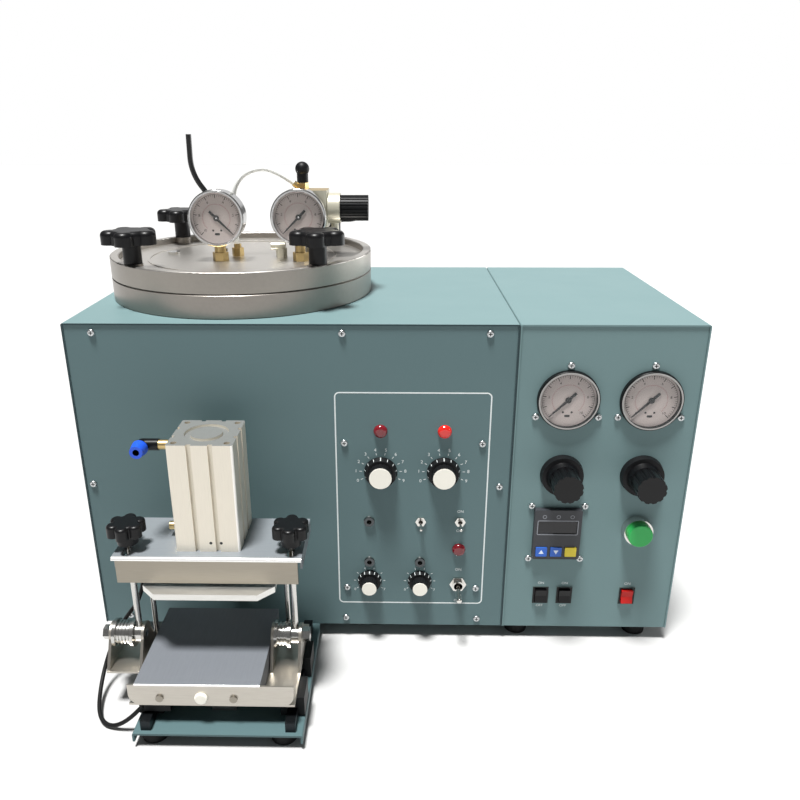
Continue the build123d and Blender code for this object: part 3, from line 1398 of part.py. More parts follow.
# ---------------------------------------------------------------- air regulator on the lid
reg_y = pot_y - 3.5
reg_left, reg_right = pot_x + 56.0, pot_x + 96.0
reg_bottom, reg_top = 422.0, 461.0
reg_middle = (reg_bottom + reg_top) / 2
bonnet_radius, bonnet_length = 16.0, 13.0
nipple_radius, nipple_foot = 6.0, 9.0
outlet_x = pot_x + 69.0
outlet_across, outlet_height = 6.5, 7.0
cap_stem, cap_stem_height, cap_ball = 6.0, 12.0, 7.5
barb_radius, barb_length = 3.2, 11.0
hose_end = (outlet_x - 9.5, 467.2)
hose_fall = 35.0          # degrees below the level where the hose meets its barb
spindle_stub, spindle_stub_radius = 22.0, 5.0
elbow_place = (pot_x + 44.0, reg_y - 8.0)

with BuildPart() as lid_regulator:
    with BuildSketch(Plane.XY.offset(reg_bottom)):
        with Locations(((reg_left + reg_right) / 2, reg_y)):
            RectangleRounded(reg_right - reg_left, 32.0, 3.0)
    extrude(amount=reg_top - reg_bottom)
    with BuildSketch(Plane.YZ.offset(reg_right)):
        with Locations((reg_y, reg_middle)):
            Circle(bonnet_radius)
    extrude(amount=bonnet_length)
    with BuildSketch(Plane.YZ.offset(reg_right + bonnet_length)):
        with Locations((reg_y, reg_middle)):
            Circle(spindle_stub_radius)
    extrude(amount=spindle_stub)
    with BuildSketch(Plane.XY.offset(lid_floor)):
        with Locations(((reg_left + reg_right) / 2, reg_y)):
            RegularPolygon(nipple_foot, 6)
    extrude(amount=9.0)
    with BuildSketch(Plane.XY.offset(lid_floor)):
        with Locations(((reg_left + reg_right) / 2, reg_y)):
            Circle(nipple_radius)
    extrude(amount=reg_bottom - lid_floor)
    with BuildSketch(Plane.XY.offset(reg_bottom - 9.0)):
        with Locations((reg_right + bonnet_length / 2, reg_y)):
            Circle(4.0)
    extrude(amount=15.0)
    with BuildSketch(Plane.XY.offset(reg_top)):
        with Locations((outlet_x, reg_y)):
            RegularPolygon(outlet_across, 6)
    extrude(amount=outlet_height)
    with BuildSketch(Plane.XY.offset(reg_top + outlet_height)):
        with Locations((outlet_x, reg_y)):
            Circle(cap_stem)
    extrude(amount=cap_stem_height)
    with Locations((outlet_x, reg_y, reg_top + outlet_height + cap_stem_height + 2.0)):
        Sphere(cap_ball)
    barb = Plane(origin=(hose_end[0], reg_y, hose_end[1]), x_dir=(0, 1, 0),
                 z_dir=(cos(radians(hose_fall)), 0, -sin(radians(hose_fall))))
    with BuildSketch(barb):
        Circle(barb_radius)
    extrude(amount=barb_length)
    with BuildSketch(Plane.XY.offset(lid_floor)):
        with Locations(elbow_place):
            RegularPolygon(nipple_radius, 6)
    extrude(amount=10.0)
    with BuildSketch(Plane.YZ.offset(elbow_place[0] - 11.0)):
        with Locations((elbow_place[1], lid_floor + 12.0)):
            Circle(4.2)
    extrude(amount=15.5)
lid_regulator.part.label = "lid_regulator"
export_step(lid_regulator.part, "parts/lid_regulator.step")

reg_knob_radius, reg_knob_length = 13.5, 29.7
knob_start = reg_right + bonnet_length + moving_gap
rib_count, rib_radius = 24, 0.9

with BuildPart() as lid_regulator_knob:
    with BuildSketch(Plane.YZ.offset(knob_start)):
        with Locations((reg_y, reg_middle)):
            Circle(reg_knob_radius)
            with PolarLocations(reg_knob_radius, rib_count):
                Circle(rib_radius, mode=Mode.SUBTRACT)
    extrude(amount=reg_knob_length)
    with BuildSketch(Plane.YZ.offset(knob_start)):
        with Locations((reg_y, reg_middle)):
            Circle(spindle_stub_radius + bearing_gap)
    extrude(amount=spindle_stub + 0.5, mode=Mode.SUBTRACT)
lid_regulator_knob.part.label = "lid_regulator_knob"
export_step(lid_regulator_knob.part, "parts/lid_regulator_knob.step")


# ---------------------------------------------------------------- bent rod, hose and cable
def routed(name, points, radius):
    """Round cord through the points: straight runs joined by arcs that touch them."""
    runs = [Vector(*b) - Vector(*a) for a, b in zip(points, points[1:])]
    bends = []
    for before, after in zip(runs, runs[1:]):
        half_turn = radians(before.get_angle(after)) / 2
        bends.append(0.45 * min(before.length, after.length) * cos(half_turn) / sin(half_turn))
    with BuildPart() as cord:
        with BuildLine() as path:
            FilletPolyline(*points, radius=bends)
        spine = path.wires()[0]
        with BuildSketch(Plane(origin=points[0], z_dir=runs[0])):
            Circle(radius)
        sweep(path=spine)
    print(name, "bends", [round(bend, 1) for bend in bends], "runs", [round(run.length, 1) for run in runs])
    print(name, "length", round(spine.length, 1), "volume ratio",
          round(cord.part.volume / (spine.length * pi * radius ** 2), 4))
    return cord.part


handle_radius = 2.8
handle_x, handle_y = pot_x - 22.0, pot_y - 7.5
boss_radius, boss_height = 6.0, 9.0
fitting_x, fitting_y = pot_x - 5.5, reg_y
fitting_across, fitting_height = 6.5, 13.0
plug_place_on_lid = (pot_x - 80.6, pot_y + 9.5)
handle_points = [(handle_x, handle_y, lid_floor + boss_height), (handle_x - 6.0, handle_y, 449.0),
                 (handle_x - 27.0, handle_y, 478.0), (handle_x - 26.5, handle_y, 517.0)]

with BuildPart() as lid_fittings:
    add(routed("lid_rod", handle_points, handle_radius))
    with BuildSketch(Plane.XY.offset(lid_floor)):
        with Locations((handle_x, handle_y)):
            Circle(boss_radius)
    extrude(amount=boss_height)
    with BuildSketch(Plane.XY.offset(lid_floor)):
        with Locations((fitting_x, fitting_y)):
            RegularPolygon(fitting_across, 6)
    extrude(amount=fitting_height - 4.0)
    with BuildSketch(Plane.XY.offset(lid_floor)):
        with Locations((fitting_x, fitting_y)):
            Circle(fitting_across * 0.62)
    extrude(amount=fitting_height)
    with BuildSketch(Plane.XY.offset(lid_floor)):
        with Locations(plug_place_on_lid):
            Circle(6.5)
    extrude(amount=2.5)
lid_fittings.part.label = "lid_fittings"
export_step(lid_fittings.part, "parts/lid_fittings.step")

hose_radius = 2.5
cord_seat = 0.35          # a cord's slanted end to what carries it
hose_points = [(fitting_x, fitting_y, lid_floor + fitting_height + cord_seat), (fitting_x - 4.0, fitting_y, 447.0),
               (fitting_x + 5.5, fitting_y, 474.0), (fitting_x + 29.5, fitting_y, 484.0),
               (hose_end[0] - 15.0, reg_y, hose_end[1] + 10.5), (hose_end[0], reg_y, hose_end[1])]
white_hose = routed("white_hose", hose_points, hose_radius)
white_hose.label = "white_hose"
export_step(white_hose, "parts/white_hose.step")

cable_radius = 2.0
cable_points = [(-231.0, -134.0, bridge_bottom - cord_seat), (-229.5, -134.0, 100.0), (-266.5, -134.0, 53.0),
                (-278.5, -158.0, 15.0), (-266.0, -208.0, 2.8), (-239.0, -217.0, 4.5),
                (junction_x - junction_width / 2 - cable_radius, junction_y, 32.0)]
cable = routed("cable", cable_points, cable_radius)
cable.label = "cable"
export_step(cable, "parts/cable.step")
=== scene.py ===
"""Bench wax injector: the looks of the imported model, put together in the order
in which the machine is built."""

from math import cos, hypot, pi, radians, sin

import bmesh
import bpy
from mathutils import Matrix, Vector


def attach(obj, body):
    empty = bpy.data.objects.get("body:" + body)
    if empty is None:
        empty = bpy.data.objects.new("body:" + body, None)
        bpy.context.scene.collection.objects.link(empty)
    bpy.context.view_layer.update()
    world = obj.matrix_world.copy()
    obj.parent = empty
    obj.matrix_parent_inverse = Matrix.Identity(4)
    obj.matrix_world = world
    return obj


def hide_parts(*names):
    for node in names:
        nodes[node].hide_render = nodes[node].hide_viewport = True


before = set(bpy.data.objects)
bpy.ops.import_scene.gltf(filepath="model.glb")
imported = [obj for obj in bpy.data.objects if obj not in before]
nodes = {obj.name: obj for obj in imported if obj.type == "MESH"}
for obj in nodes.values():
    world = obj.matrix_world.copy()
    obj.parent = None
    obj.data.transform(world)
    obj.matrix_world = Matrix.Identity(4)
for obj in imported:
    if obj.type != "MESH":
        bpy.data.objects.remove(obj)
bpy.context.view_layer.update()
mm = 0.001

# ---------------------------------------------------------------- camera
# The camera stands in front of the machine, higher than its lid, and looks down
# on it by about twenty degrees.
pitch, yaw, roll = radians(20.45), radians(-1.24), radians(-0.14)
camera_place = Vector((13.2, -753.8, 529.6)) * mm
sight = Vector((sin(yaw) * cos(pitch), cos(yaw) * cos(pitch), -sin(pitch)))
level = Vector((cos(yaw), -sin(yaw), 0.0))
upright = level.cross(sight)
across = level * cos(roll) + upright * sin(roll)
above = upright * cos(roll) - level * sin(roll)
camera = bpy.data.objects.new("camera", bpy.data.cameras.new("camera"))
camera_turn = Matrix((across, above, -sight)).transposed().to_4x4()
camera.matrix_world = Matrix.Translation(camera_place) @ camera_turn
camera.data.lens, camera.data.sensor_width = 33.69, 36.0
camera.data.shift_x = 0.0225
camera.data.clip_start, camera.data.clip_end = 0.01, 50.0
bpy.context.scene.collection.objects.link(camera)
bpy.context.scene.camera = camera


# ---------------------------------------------------------------- studio
# A pale floor in a white room.  The main light comes from overhead, a little
# from the front, so that the tops are bright and the fronts deep in colour.
# One soft box behind the machine and one at its right are mirrored in the metal.
def ink(hex_code):
    """The linear colour of a hexadecimal display colour."""
    parts = [int(hex_code[i:i + 2], 16) / 255 for i in (0, 2, 4)]
    linear = [c / 12.92 if c <= 0.04045 else ((c + 0.055) / 1.055) ** 2.4 for c in parts]
    return (*linear, 1.0)


def lamp(name, kind, place, aim, strength, **settings):
    """A light at a place, in metres, turned towards its aim."""
    data = bpy.data.lights.new(name, kind)
    data.energy = strength
    for title, value in settings.items():
        setattr(data, title, value)
    holder = bpy.data.objects.new(name, data)
    holder.location = place
    holder.rotation_euler = (Vector(aim) - Vector(place)).to_track_quat("-Z", "Y").to_euler()
    bpy.context.scene.collection.objects.link(holder)


lamp("overhead_lamp", "SUN", (-0.22, -0.36, 2.0), (0.0, 0.0, 0.0), 6.7, angle=radians(11.0),
     color=(1.0, 0.995, 0.98))
lamp("rear_softbox", "AREA", (0.0, 2.4, 1.3), (0.0, 0.0, 0.3), 8.0,
     shape="RECTANGLE", size=2.8, size_y=1.4)
lamp("side_softbox", "AREA", (1.9, 1.2, 0.45), (-0.15, 0.08, 0.38), 20.0,
     shape="RECTANGLE", size=1.8, size_y=1.0)

# The camera sees a white room, and the machine is lit by a dim one.
room_strength = 0.16
white = (1.0, 1.0, 1.0, 1.0)
room = bpy.data.worlds.new("studio_room")
room.use_nodes = True
room_tree = room.node_tree
room_light = room_tree.nodes["Background"]
room_light.inputs["Color"].default_value = white
room_light.inputs["Strength"].default_value = room_strength
room_seen = room_tree.nodes.new("ShaderNodeBackground")
room_seen.inputs["Color"].default_value = white
room_ray = room_tree.nodes.new("ShaderNodeLightPath")
room_mix = room_tree.nodes.new("ShaderNodeMixShader")
room_tree.links.new(room_ray.outputs["Is Camera Ray"], room_mix.inputs["Fac"])
room_tree.links.new(room_light.outputs["Background"], room_mix.inputs[1])
room_tree.links.new(room_seen.outputs["Background"], room_mix.inputs[2])
room_tree.links.new(room_mix.outputs["Shader"], room_tree.nodes["World Output"].inputs["Surface"])
bpy.context.scene.world = room
bpy.context.scene.view_settings.view_transform = "Standard"

floor_half, floor_shade = 9.0, 0.49
floor_mesh = bpy.data.meshes.new("studio_floor")
floor_corners = [(x * floor_half, y * floor_half, 0)
                 for x, y in ((-1, -1), (1, -1), (1, 1), (-1, 1))]
floor_mesh.from_pydata(floor_corners, [], [(0, 1, 2, 3)])
studio_floor = bpy.data.objects.new("studio_floor", floor_mesh)
bpy.context.scene.collection.objects.link(studio_floor)
floor_paper = bpy.data.materials.new("floor_paper")
floor_paper.use_nodes = True
for socket, value in (("Base Color", (floor_shade, floor_shade, floor_shade, 1.0)),
                      ("Roughness", 0.8), ("Specular IOR Level", 0.1)):
    floor_paper.node_tree.nodes["Principled BSDF"].inputs[socket].default_value = value
floor_mesh.materials.append(floor_paper)


# ---------------------------------------------------------------- clamp cable and lid hose
# A limp black cable hangs from under the clamp's bridge, loops on the bench and
# comes up behind the carriage's front plate.  A soft white air hose arches over
# the lid, from its fitting to the regulator.  Both end in the machine.
def shader_group(name, inputs, outputs):
    """A shader node group with its named inputs and outputs."""
    tree = bpy.data.node_groups.new(name, "ShaderNodeTree")
    for title, kind in inputs:
        tree.interface.new_socket(title, in_out="INPUT", socket_type="NodeSocket" + kind)
    for title, kind in outputs:
        tree.interface.new_socket(title, in_out="OUTPUT", socket_type="NodeSocket" + kind)
    return tree, tree.nodes.new("NodeGroupInput"), tree.nodes.new("NodeGroupOutput")


def made(tree, kind, values=(), **settings):
    """A node with its settings and its sockets' values."""
    node = tree.nodes.new(kind)
    for title, value in settings.items():
        setattr(node, title, value)
    for title, value in values:
        node.inputs[title].default_value = value
    return node


# The grain of a surface: fine noise for the surface itself and broad noise for
# the marks of handling.  Stretched far along one axis, it is a brushed finish.
grain, grain_in, grain_out = shader_group(
    "surface_grain",
    [("Place", "Vector"), ("Fineness", "Float"), ("Colour", "Color"), ("Second Colour", "Color"),
     ("Roughness", "Float"), ("Roughness Spread", "Float")],
    [("Colour", "Color"), ("Roughness", "Float"), ("Height", "Float")])
fine_noise = made(grain, "ShaderNodeTexNoise", [("Detail", 4.0)])
broad_noise = made(grain, "ShaderNodeTexNoise", [("Detail", 5.0), ("Scale", 14.0)])
grain_mask = made(grain, "ShaderNodeMath", operation="MULTIPLY")
grain_tint = made(grain, "ShaderNodeMix", data_type="RGBA")
grain_rough = made(grain, "ShaderNodeMath", operation="MULTIPLY_ADD")
for start, end in (
        (grain_in.outputs["Place"], fine_noise.inputs["Vector"]),
        (grain_in.outputs["Fineness"], fine_noise.inputs["Scale"]),
        (grain_in.outputs["Place"], broad_noise.inputs["Vector"]),
        (fine_noise.outputs["Fac"], grain_mask.inputs[0]),
        (broad_noise.outputs["Fac"], grain_mask.inputs[1]),
        (grain_mask.outputs[0], grain_tint.inputs[0]),
        (grain_in.outputs["Colour"], grain_tint.inputs[6]),
        (grain_in.outputs["Second Colour"], grain_tint.inputs[7]),
        (grain_tint.outputs[2], grain_out.inputs["Colour"]),
        (broad_noise.outputs["Fac"], grain_rough.inputs[0]),
        (grain_in.outputs["Roughness Spread"], grain_rough.inputs[1]),
        (grain_in.outputs["Roughness"], grain_rough.inputs[2]),
        (grain_rough.outputs[0], grain_out.inputs["Roughness"]),
        (fine_noise.outputs["Fac"], grain_out.inputs["Height"])):
    grain.links.new(start, end)


def finish(name, base, second=None, rough=0.5, spread=0.15, fineness=900.0, bump=0.0, depth=0.1,
           stretch=(1.0, 1.0, 1.0), shader_values=()):
    """A finish on object coordinates, with a relief of a strength, bump, and a height, depth."""
    material = bpy.data.materials.new(name)
    material.use_nodes = True
    tree = material.node_tree
    shader = tree.nodes["Principled BSDF"]
    place = made(tree, "ShaderNodeTexCoord")
    spaced = made(tree, "ShaderNodeMapping", [("Scale", stretch)])
    surface = made(tree, "ShaderNodeGroup", node_tree=grain)
    for title, value in (("Fineness", fineness), ("Colour", ink(base)),
                         ("Second Colour", ink(second or base)),
                         ("Roughness", rough), ("Roughness Spread", spread)):
        surface.inputs[title].default_value = value
    tree.links.new(place.outputs["Object"], spaced.inputs["Vector"])
    tree.links.new(spaced.outputs["Vector"], surface.inputs["Place"])
    tree.links.new(surface.outputs["Colour"], shader.inputs["Base Color"])
    tree.links.new(surface.outputs["Roughness"], shader.inputs["Roughness"])
    if bump:
        relief = made(tree, "ShaderNodeBump", [("Strength", bump), ("Distance", depth * mm)])
        tree.links.new(surface.outputs["Height"], relief.inputs["Height"])
        tree.links.new(relief.outputs["Normal"], shader.inputs["Normal"])
    for title, value in shader_values:
        shader.inputs[title].default_value = value
    return material


metal = (("Metallic", 1.0),)
dull = (("Specular IOR Level", 0.22),)


def free_cord(name, points, diameter, body, node, material):
    """A cord along a smooth curve that its route's points steer, in millimetres."""
    line = bpy.data.curves.new(name, "CURVE")
    line.dimensions = "3D"
    spline = line.splines.new("NURBS")
    spline.points.add(len(points) - 1)
    for knot, (x, y, z) in zip(spline.points, points):
        knot.co = (x * mm, y * mm, z * mm, 1.0)
    spline.order_u = 3
    spline.use_endpoint_u = True
    spline.resolution_u = 24
    line.bevel_depth = diameter / 2 * mm
    line.bevel_resolution = 5
    line.use_fill_caps = True
    cord = bpy.data.objects.new(name, line)
    bpy.context.scene.collection.objects.link(cord)
    line.materials.append(material)
    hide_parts(node)
    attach(cord, body)
    return cord


cable_jacket = finish("cable_jacket", "0f0f10", "060606", rough=0.45, fineness=1400.0, bump=0.25,
                      shader_values=dull)
cable_thickness, cable_length = 4.0, 269.8
clamp_cable = free_cord(
    "clamp_cable",
    [(-231.0, -134.0, 156.65), (-229.5, -134.0, 100.0), (-266.5, -134.0, 53.0),
     (-278.5, -158.0, 15.0), (-266.0, -208.0, 2.8), (-239.0, -217.0, 4.5), (-216.3, -217.25, 32.0)],
    cable_thickness, "carriage", "cable", cable_jacket)
hose_plastic = finish("hose_plastic", "f6f7f4", "eceeea", rough=0.3, fineness=300.0,
                      shader_values=(("Transmission Weight", 0.12), ("IOR", 1.4)))
hose_thickness, hose_length = 5.0, 135.5
lid_hose = free_cord(
    "lid_hose",
    [(-163.5, 76.0, 403.35), (-167.5, 76.0, 447.0), (-158.0, 76.0, 474.0), (-134.0, 76.0, 484.0),
     (-113.5, 76.0, 477.7), (-98.5, 76.0, 467.2)],
    hose_thickness, "lid", "white_hose", hose_plastic)


# ---------------------------------------------------------------- painted cabinets and base plate
# Folded sheet steel in grey green powder coat with a fine orange peel: two
# covers, two chassis, the screwed front panel and the clamp's base plate.  The
# boards, valves, rubber feet and screws are bought in.
def dress(node, base, *rules):
    """A node's finish, and others for the faces whose lowest and highest corners pass a rule."""
    mesh = nodes[node].data
    mesh.materials.clear()
    for material in (base, *(rule[0] for rule in rules)):
        mesh.materials.append(material)
    if not rules:
        return
    for face in mesh.polygons:
        corners = [mesh.vertices[index].co / mm for index in face.vertices]
        low = Vector([min(corner[axis] for corner in corners) for axis in range(3)])
        high = Vector([max(corner[axis] for corner in corners) for axis in range(3)])
        face.material_index = next((number for number, rule in enumerate(rules, start=1)
                                    if rule[1](low, high)), 0)


def in_plane(y, slack=0.05):
    """A rule for faces that lie in a plane across y."""
    return lambda low, high: low.y > y - slack and high.y < y + slack


def powder_coat(name, base, second):
    """Powder coat with a fine orange peel."""
    return finish(name, base, second, rough=0.42, spread=0.12, fineness=650.0, bump=0.16,
                  depth=0.06, shader_values=dull)


# The cut front edge of the main cover is painted dark round the panel: a painted shadow of the gap
# and the cover's overhang.
cabinet_paint = powder_coat("cabinet_paint", "70898b", "6b8486")
cover_edge_shade = finish("cover_edge_shade", "1f373c", "1b3237", rough=0.5, fineness=900.0)
cover_front = -76.0
dress("main_cover", cabinet_paint, (cover_edge_shade, lambda low, high: high.y < cover_front + 0.1))
for painted in ("control_cover", "main_chassis", "control_chassis"):
    dress(painted, cabinet_paint)
# The main front panel is a darker copy of the cabinet paint: painted shade from the cover's
# overhang.
dress("main_front_panel", powder_coat("panel_paint_shaded", "5f7679", "5a7174"))
# The clamp's base plate is a darker copy of the cabinet paint: painted shade from the carriage
# above it.
dress("clamp_base", powder_coat("base_paint_shaded", "50676a", "4b6265"))
dress("rubber_feet", finish("foot_rubber", "17191a", "0d0e0f", rough=0.6, fineness=500.0, bump=0.3,
                            shader_values=dull))
board_resin = finish("board_resin", "1f5b35", "174628", rough=0.4, fineness=350.0)
valve_alloy = finish("valve_alloy", "9a9d9f", "85888a", rough=0.4, fineness=700.0,
                     shader_values=metal)
board_top, valves_start = 34.0, 60.0
dress("boards_and_valves", board_resin,
      (valve_alloy, lambda low, high: low.y > valves_start and high.z > board_top))
zinc = finish("zinc", "cfd2d3", "b3b6b8", rough=0.22, fineness=1200.0, shader_values=metal)
# Near black as painted shade on the floors of holes and recesses; here the screw recesses in the
# panel.
recess_shade = finish("recess_shade", "2a2c2d", "1b1c1d", rough=0.6)
recess_floor = -75.9
dress("panel_screws", zinc, (recess_shade, in_plane(recess_floor)))


# ---------------------------------------------------------------- printing on the panels
# White silk-screen ink on the paint: the frame round the wax controls, the
# scales of its four knobs with plain numbers, and ON and OFF at its switches.
panel_front = -75.0
ink_sheet = 0.06


def circle(x, z, radius, steps=64):
    """Outline of a circle."""
    return [(x + radius * cos(2 * pi * step / steps), z + radius * sin(2 * pi * step / steps))
            for step in range(steps)]


def rounded(x, z, half_width, half_height, radius, steps=6):
    """Outline of a rectangle with round corners."""
    outline = []
    for corner, (side, level_side) in enumerate(((1, 1), (-1, 1), (-1, -1), (1, -1))):
        for step in range(steps + 1):
            turn = (corner + step / steps) * pi / 2
            outline.append((x + side * (half_width - radius) + radius * cos(turn),
                            z + level_side * (half_height - radius) + radius * sin(turn)))
    return outline


def plate(outer, inner, back, front):
    """Closed plate between two planes across y.  inner is a hole with as many corners as outer."""
    shape = bmesh.new()
    if inner:
        loops = [(outer, front), (inner, front), (inner, back), (outer, back)]
    else:
        loops = [(outer, front), (outer, back)]
    rows = [[shape.verts.new((x * mm, y * mm, z * mm)) for x, z in loop] for loop, y in loops]
    pairs = list(zip(rows, rows[1:] + rows[:1])) if inner else [(rows[0], rows[1])]
    for row, other in pairs:
        for index in range(len(row)):
            after = (index + 1) % len(row)
            shape.faces.new((row[index], row[after], other[after], other[index]))
    if not inner:
        for row in rows:
            shape.faces.new(row)
    bmesh.ops.recalc_face_normals(shape, faces=shape.faces)
    mesh = bpy.data.meshes.new("plate")
    shape.to_mesh(mesh)
    shape.free()
    return mesh


def words(text, size, x, z, back, sheet=ink_sheet):
    """Letters that face the operator, their middle at x and z."""
    letters = bpy.data.curves.new("words", "FONT")
    letters.body, letters.size, letters.resolution_u = text, size * mm, 3
    letters.align_x, letters.align_y = "CENTER", "CENTER"
    letters.extrude = sheet / 2 * mm
    holder = bpy.data.objects.new("words", letters)
    mesh = bpy.data.meshes.new_from_object(holder)
    bpy.data.objects.remove(holder)
    bpy.data.curves.remove(letters)
    shape = bmesh.new()
    shape.from_mesh(mesh)
    bmesh.ops.remove_doubles(shape, verts=shape.verts, dist=1e-7)
    shape.to_mesh(mesh)
    shape.free()
    place = Matrix.Translation(Vector((x, back - sheet / 2, z)) * mm)
    mesh.transform(place @ Matrix.Rotation(pi / 2, 4, "X"))
    return mesh


# Marks round a scale: one bar per mark, spread over the sweep, clockwise from
# the start, which is counted from the top.
tick_tree = bpy.data.node_groups.new("scale_ticks", "GeometryNodeTree")
tick_sockets = {}
for title, kind in (("Count", "Int"), ("Radius", "Float"), ("Start", "Float"), ("Sweep", "Float"),
                    ("Bar", "Vector"), ("Tilt", "Float"), ("Finish", "Material")):
    tick_sockets[title] = tick_tree.interface.new_socket(
        title, in_out="INPUT", socket_type="NodeSocket" + kind).identifier
tick_tree.interface.new_socket("Geometry", in_out="OUTPUT", socket_type="NodeSocketGeometry")
tick_in, tick_out = tick_tree.nodes.new("NodeGroupInput"), tick_tree.nodes.new("NodeGroupOutput")
tick_line = made(tick_tree, "GeometryNodeMeshLine")
tick_index = made(tick_tree, "GeometryNodeInputIndex")
tick_last = made(tick_tree, "ShaderNodeMath", [(1, 1.0)], operation="SUBTRACT")
tick_share = made(tick_tree, "ShaderNodeMath", operation="DIVIDE")
tick_turn = made(tick_tree, "ShaderNodeMath", operation="MULTIPLY_ADD")
tick_sine = made(tick_tree, "ShaderNodeMath", operation="SINE")
tick_cosine = made(tick_tree, "ShaderNodeMath", operation="COSINE")
tick_way = made(tick_tree, "ShaderNodeCombineXYZ")
tick_reach = made(tick_tree, "ShaderNodeVectorMath", operation="SCALE")
tick_place = made(tick_tree, "GeometryNodeSetPosition")
tick_bar = made(tick_tree, "GeometryNodeMeshCube")
tick_pose = made(tick_tree, "ShaderNodeCombineXYZ")
tick_many = made(tick_tree, "GeometryNodeInstanceOnPoints")
tick_real = made(tick_tree, "GeometryNodeRealizeInstances")
tick_finish = made(tick_tree, "GeometryNodeSetMaterial")
for start, end in (
        (tick_in.outputs["Count"], tick_line.inputs["Count"]),
        (tick_in.outputs["Count"], tick_last.inputs[0]),
        (tick_index.outputs[0], tick_share.inputs[0]),
        (tick_last.outputs[0], tick_share.inputs[1]),
        (tick_share.outputs[0], tick_turn.inputs[0]),
        (tick_in.outputs["Sweep"], tick_turn.inputs[1]),
        (tick_in.outputs["Start"], tick_turn.inputs[2]),
        (tick_turn.outputs[0], tick_sine.inputs[0]),
        (tick_turn.outputs[0], tick_cosine.inputs[0]),
        (tick_sine.outputs[0], tick_way.inputs["X"]),
        (tick_cosine.outputs[0], tick_way.inputs["Z"]),
        (tick_way.outputs[0], tick_reach.inputs[0]),
        (tick_in.outputs["Radius"], tick_reach.inputs["Scale"]),
        (tick_line.outputs["Mesh"], tick_place.inputs["Geometry"]),
        (tick_reach.outputs[0], tick_place.inputs["Position"]),
        (tick_in.outputs["Bar"], tick_bar.inputs["Size"]),
        (tick_in.outputs["Tilt"], tick_pose.inputs["X"]),
        (tick_turn.outputs[0], tick_pose.inputs["Y"]),
        (tick_place.outputs["Geometry"], tick_many.inputs["Points"]),
        (tick_bar.outputs["Mesh"], tick_many.inputs["Instance"]),
        (tick_pose.outputs[0], tick_many.inputs["Rotation"]),
        (tick_many.outputs["Instances"], tick_real.inputs["Geometry"]),
        (tick_real.outputs["Geometry"], tick_finish.inputs["Geometry"]),
        (tick_in.outputs["Finish"], tick_finish.inputs["Material"]),
        (tick_finish.outputs["Geometry"], tick_out.inputs["Geometry"])):
    tick_tree.links.new(start, end)


def ticks(count, radius, start, sweep, bar, x, y, z, material, tilt=0.0):
    """Bars of (width, sheet, length) round the middle (x, y, z); angles in degrees."""
    holder = bpy.data.objects.new("ticks", bpy.data.meshes.new("ticks"))
    bpy.context.scene.collection.objects.link(holder)
    pattern = holder.modifiers.new("ticks", "NODES")
    pattern.node_group = tick_tree
    for title, value in (("Count", count), ("Radius", radius * mm), ("Start", radians(start)),
                         ("Sweep", radians(sweep)), ("Bar", [side * mm for side in bar]),
                         ("Tilt", radians(tilt)), ("Finish", material)):
        pattern[tick_sockets[title]] = value
    bpy.context.view_layer.update()
    evaluated = holder.evaluated_get(bpy.context.evaluated_depsgraph_get())
    mesh = bpy.data.meshes.new_from_object(evaluated)
    holder.modifiers.clear()
    empty_mesh = holder.data
    bpy.data.objects.remove(holder)
    bpy.data.meshes.remove(empty_mesh)
    mesh.transform(Matrix.Translation(Vector((x, y, z)) * mm))
    return mesh


def piece(name, parts, body):
    """One finished object made of meshes with their materials, riding on a body."""
    data = bpy.data.meshes.new(name)
    materials = []
    whole = bmesh.new()
    for mesh, material in parts:
        if material not in materials:
            materials.append(material)
        first = len(whole.faces)
        whole.from_mesh(mesh)
        whole.faces.ensure_lookup_table()
        for face in whole.faces[first:]:
            face.material_index = materials.index(material)
        bpy.data.meshes.remove(mesh)
    whole.to_mesh(data)
    whole.free()
    for material in materials:
        data.materials.append(material)
    made_piece = bpy.data.objects.new(name, data)
    bpy.context.scene.collection.objects.link(made_piece)
    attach(made_piece, body)
    return made_piece


panel_ink = finish("panel_ink", "e6ecec", "d5dddd", rough=0.55, fineness=800.0)
print_back = panel_front - ink_sheet / 2
prints = []
border_x, border_half, border_bottom, border_top = 28.5, 76.5, 43.5, 284.5
border_corner, border_line = 5.0, 1.3
border_z, border_half_height = (border_bottom + border_top) / 2, (border_top - border_bottom) / 2
prints.append((plate(rounded(border_x, border_z, border_half, border_half_height, border_corner),
                     rounded(border_x, border_z, border_half - border_line,
                             border_half_height - border_line, border_corner - border_line),
                     panel_front, panel_front - ink_sheet), panel_ink))


def knob_scale(x, z, marks, radius, start, bar, numbers, number_radius, number_size):
    """Scale round a knob, even about the top, with the numbers of some of its marks."""
    sweep = -2 * start
    prints.append((ticks(marks, radius, start, sweep, bar, x, print_back, z, panel_ink), panel_ink))
    for number in numbers:
        turn = radians(start + sweep * number / (marks - 1))
        prints.append((words(str(number), number_size, x + number_radius * sin(turn),
                             z + number_radius * cos(turn), panel_front), panel_ink))


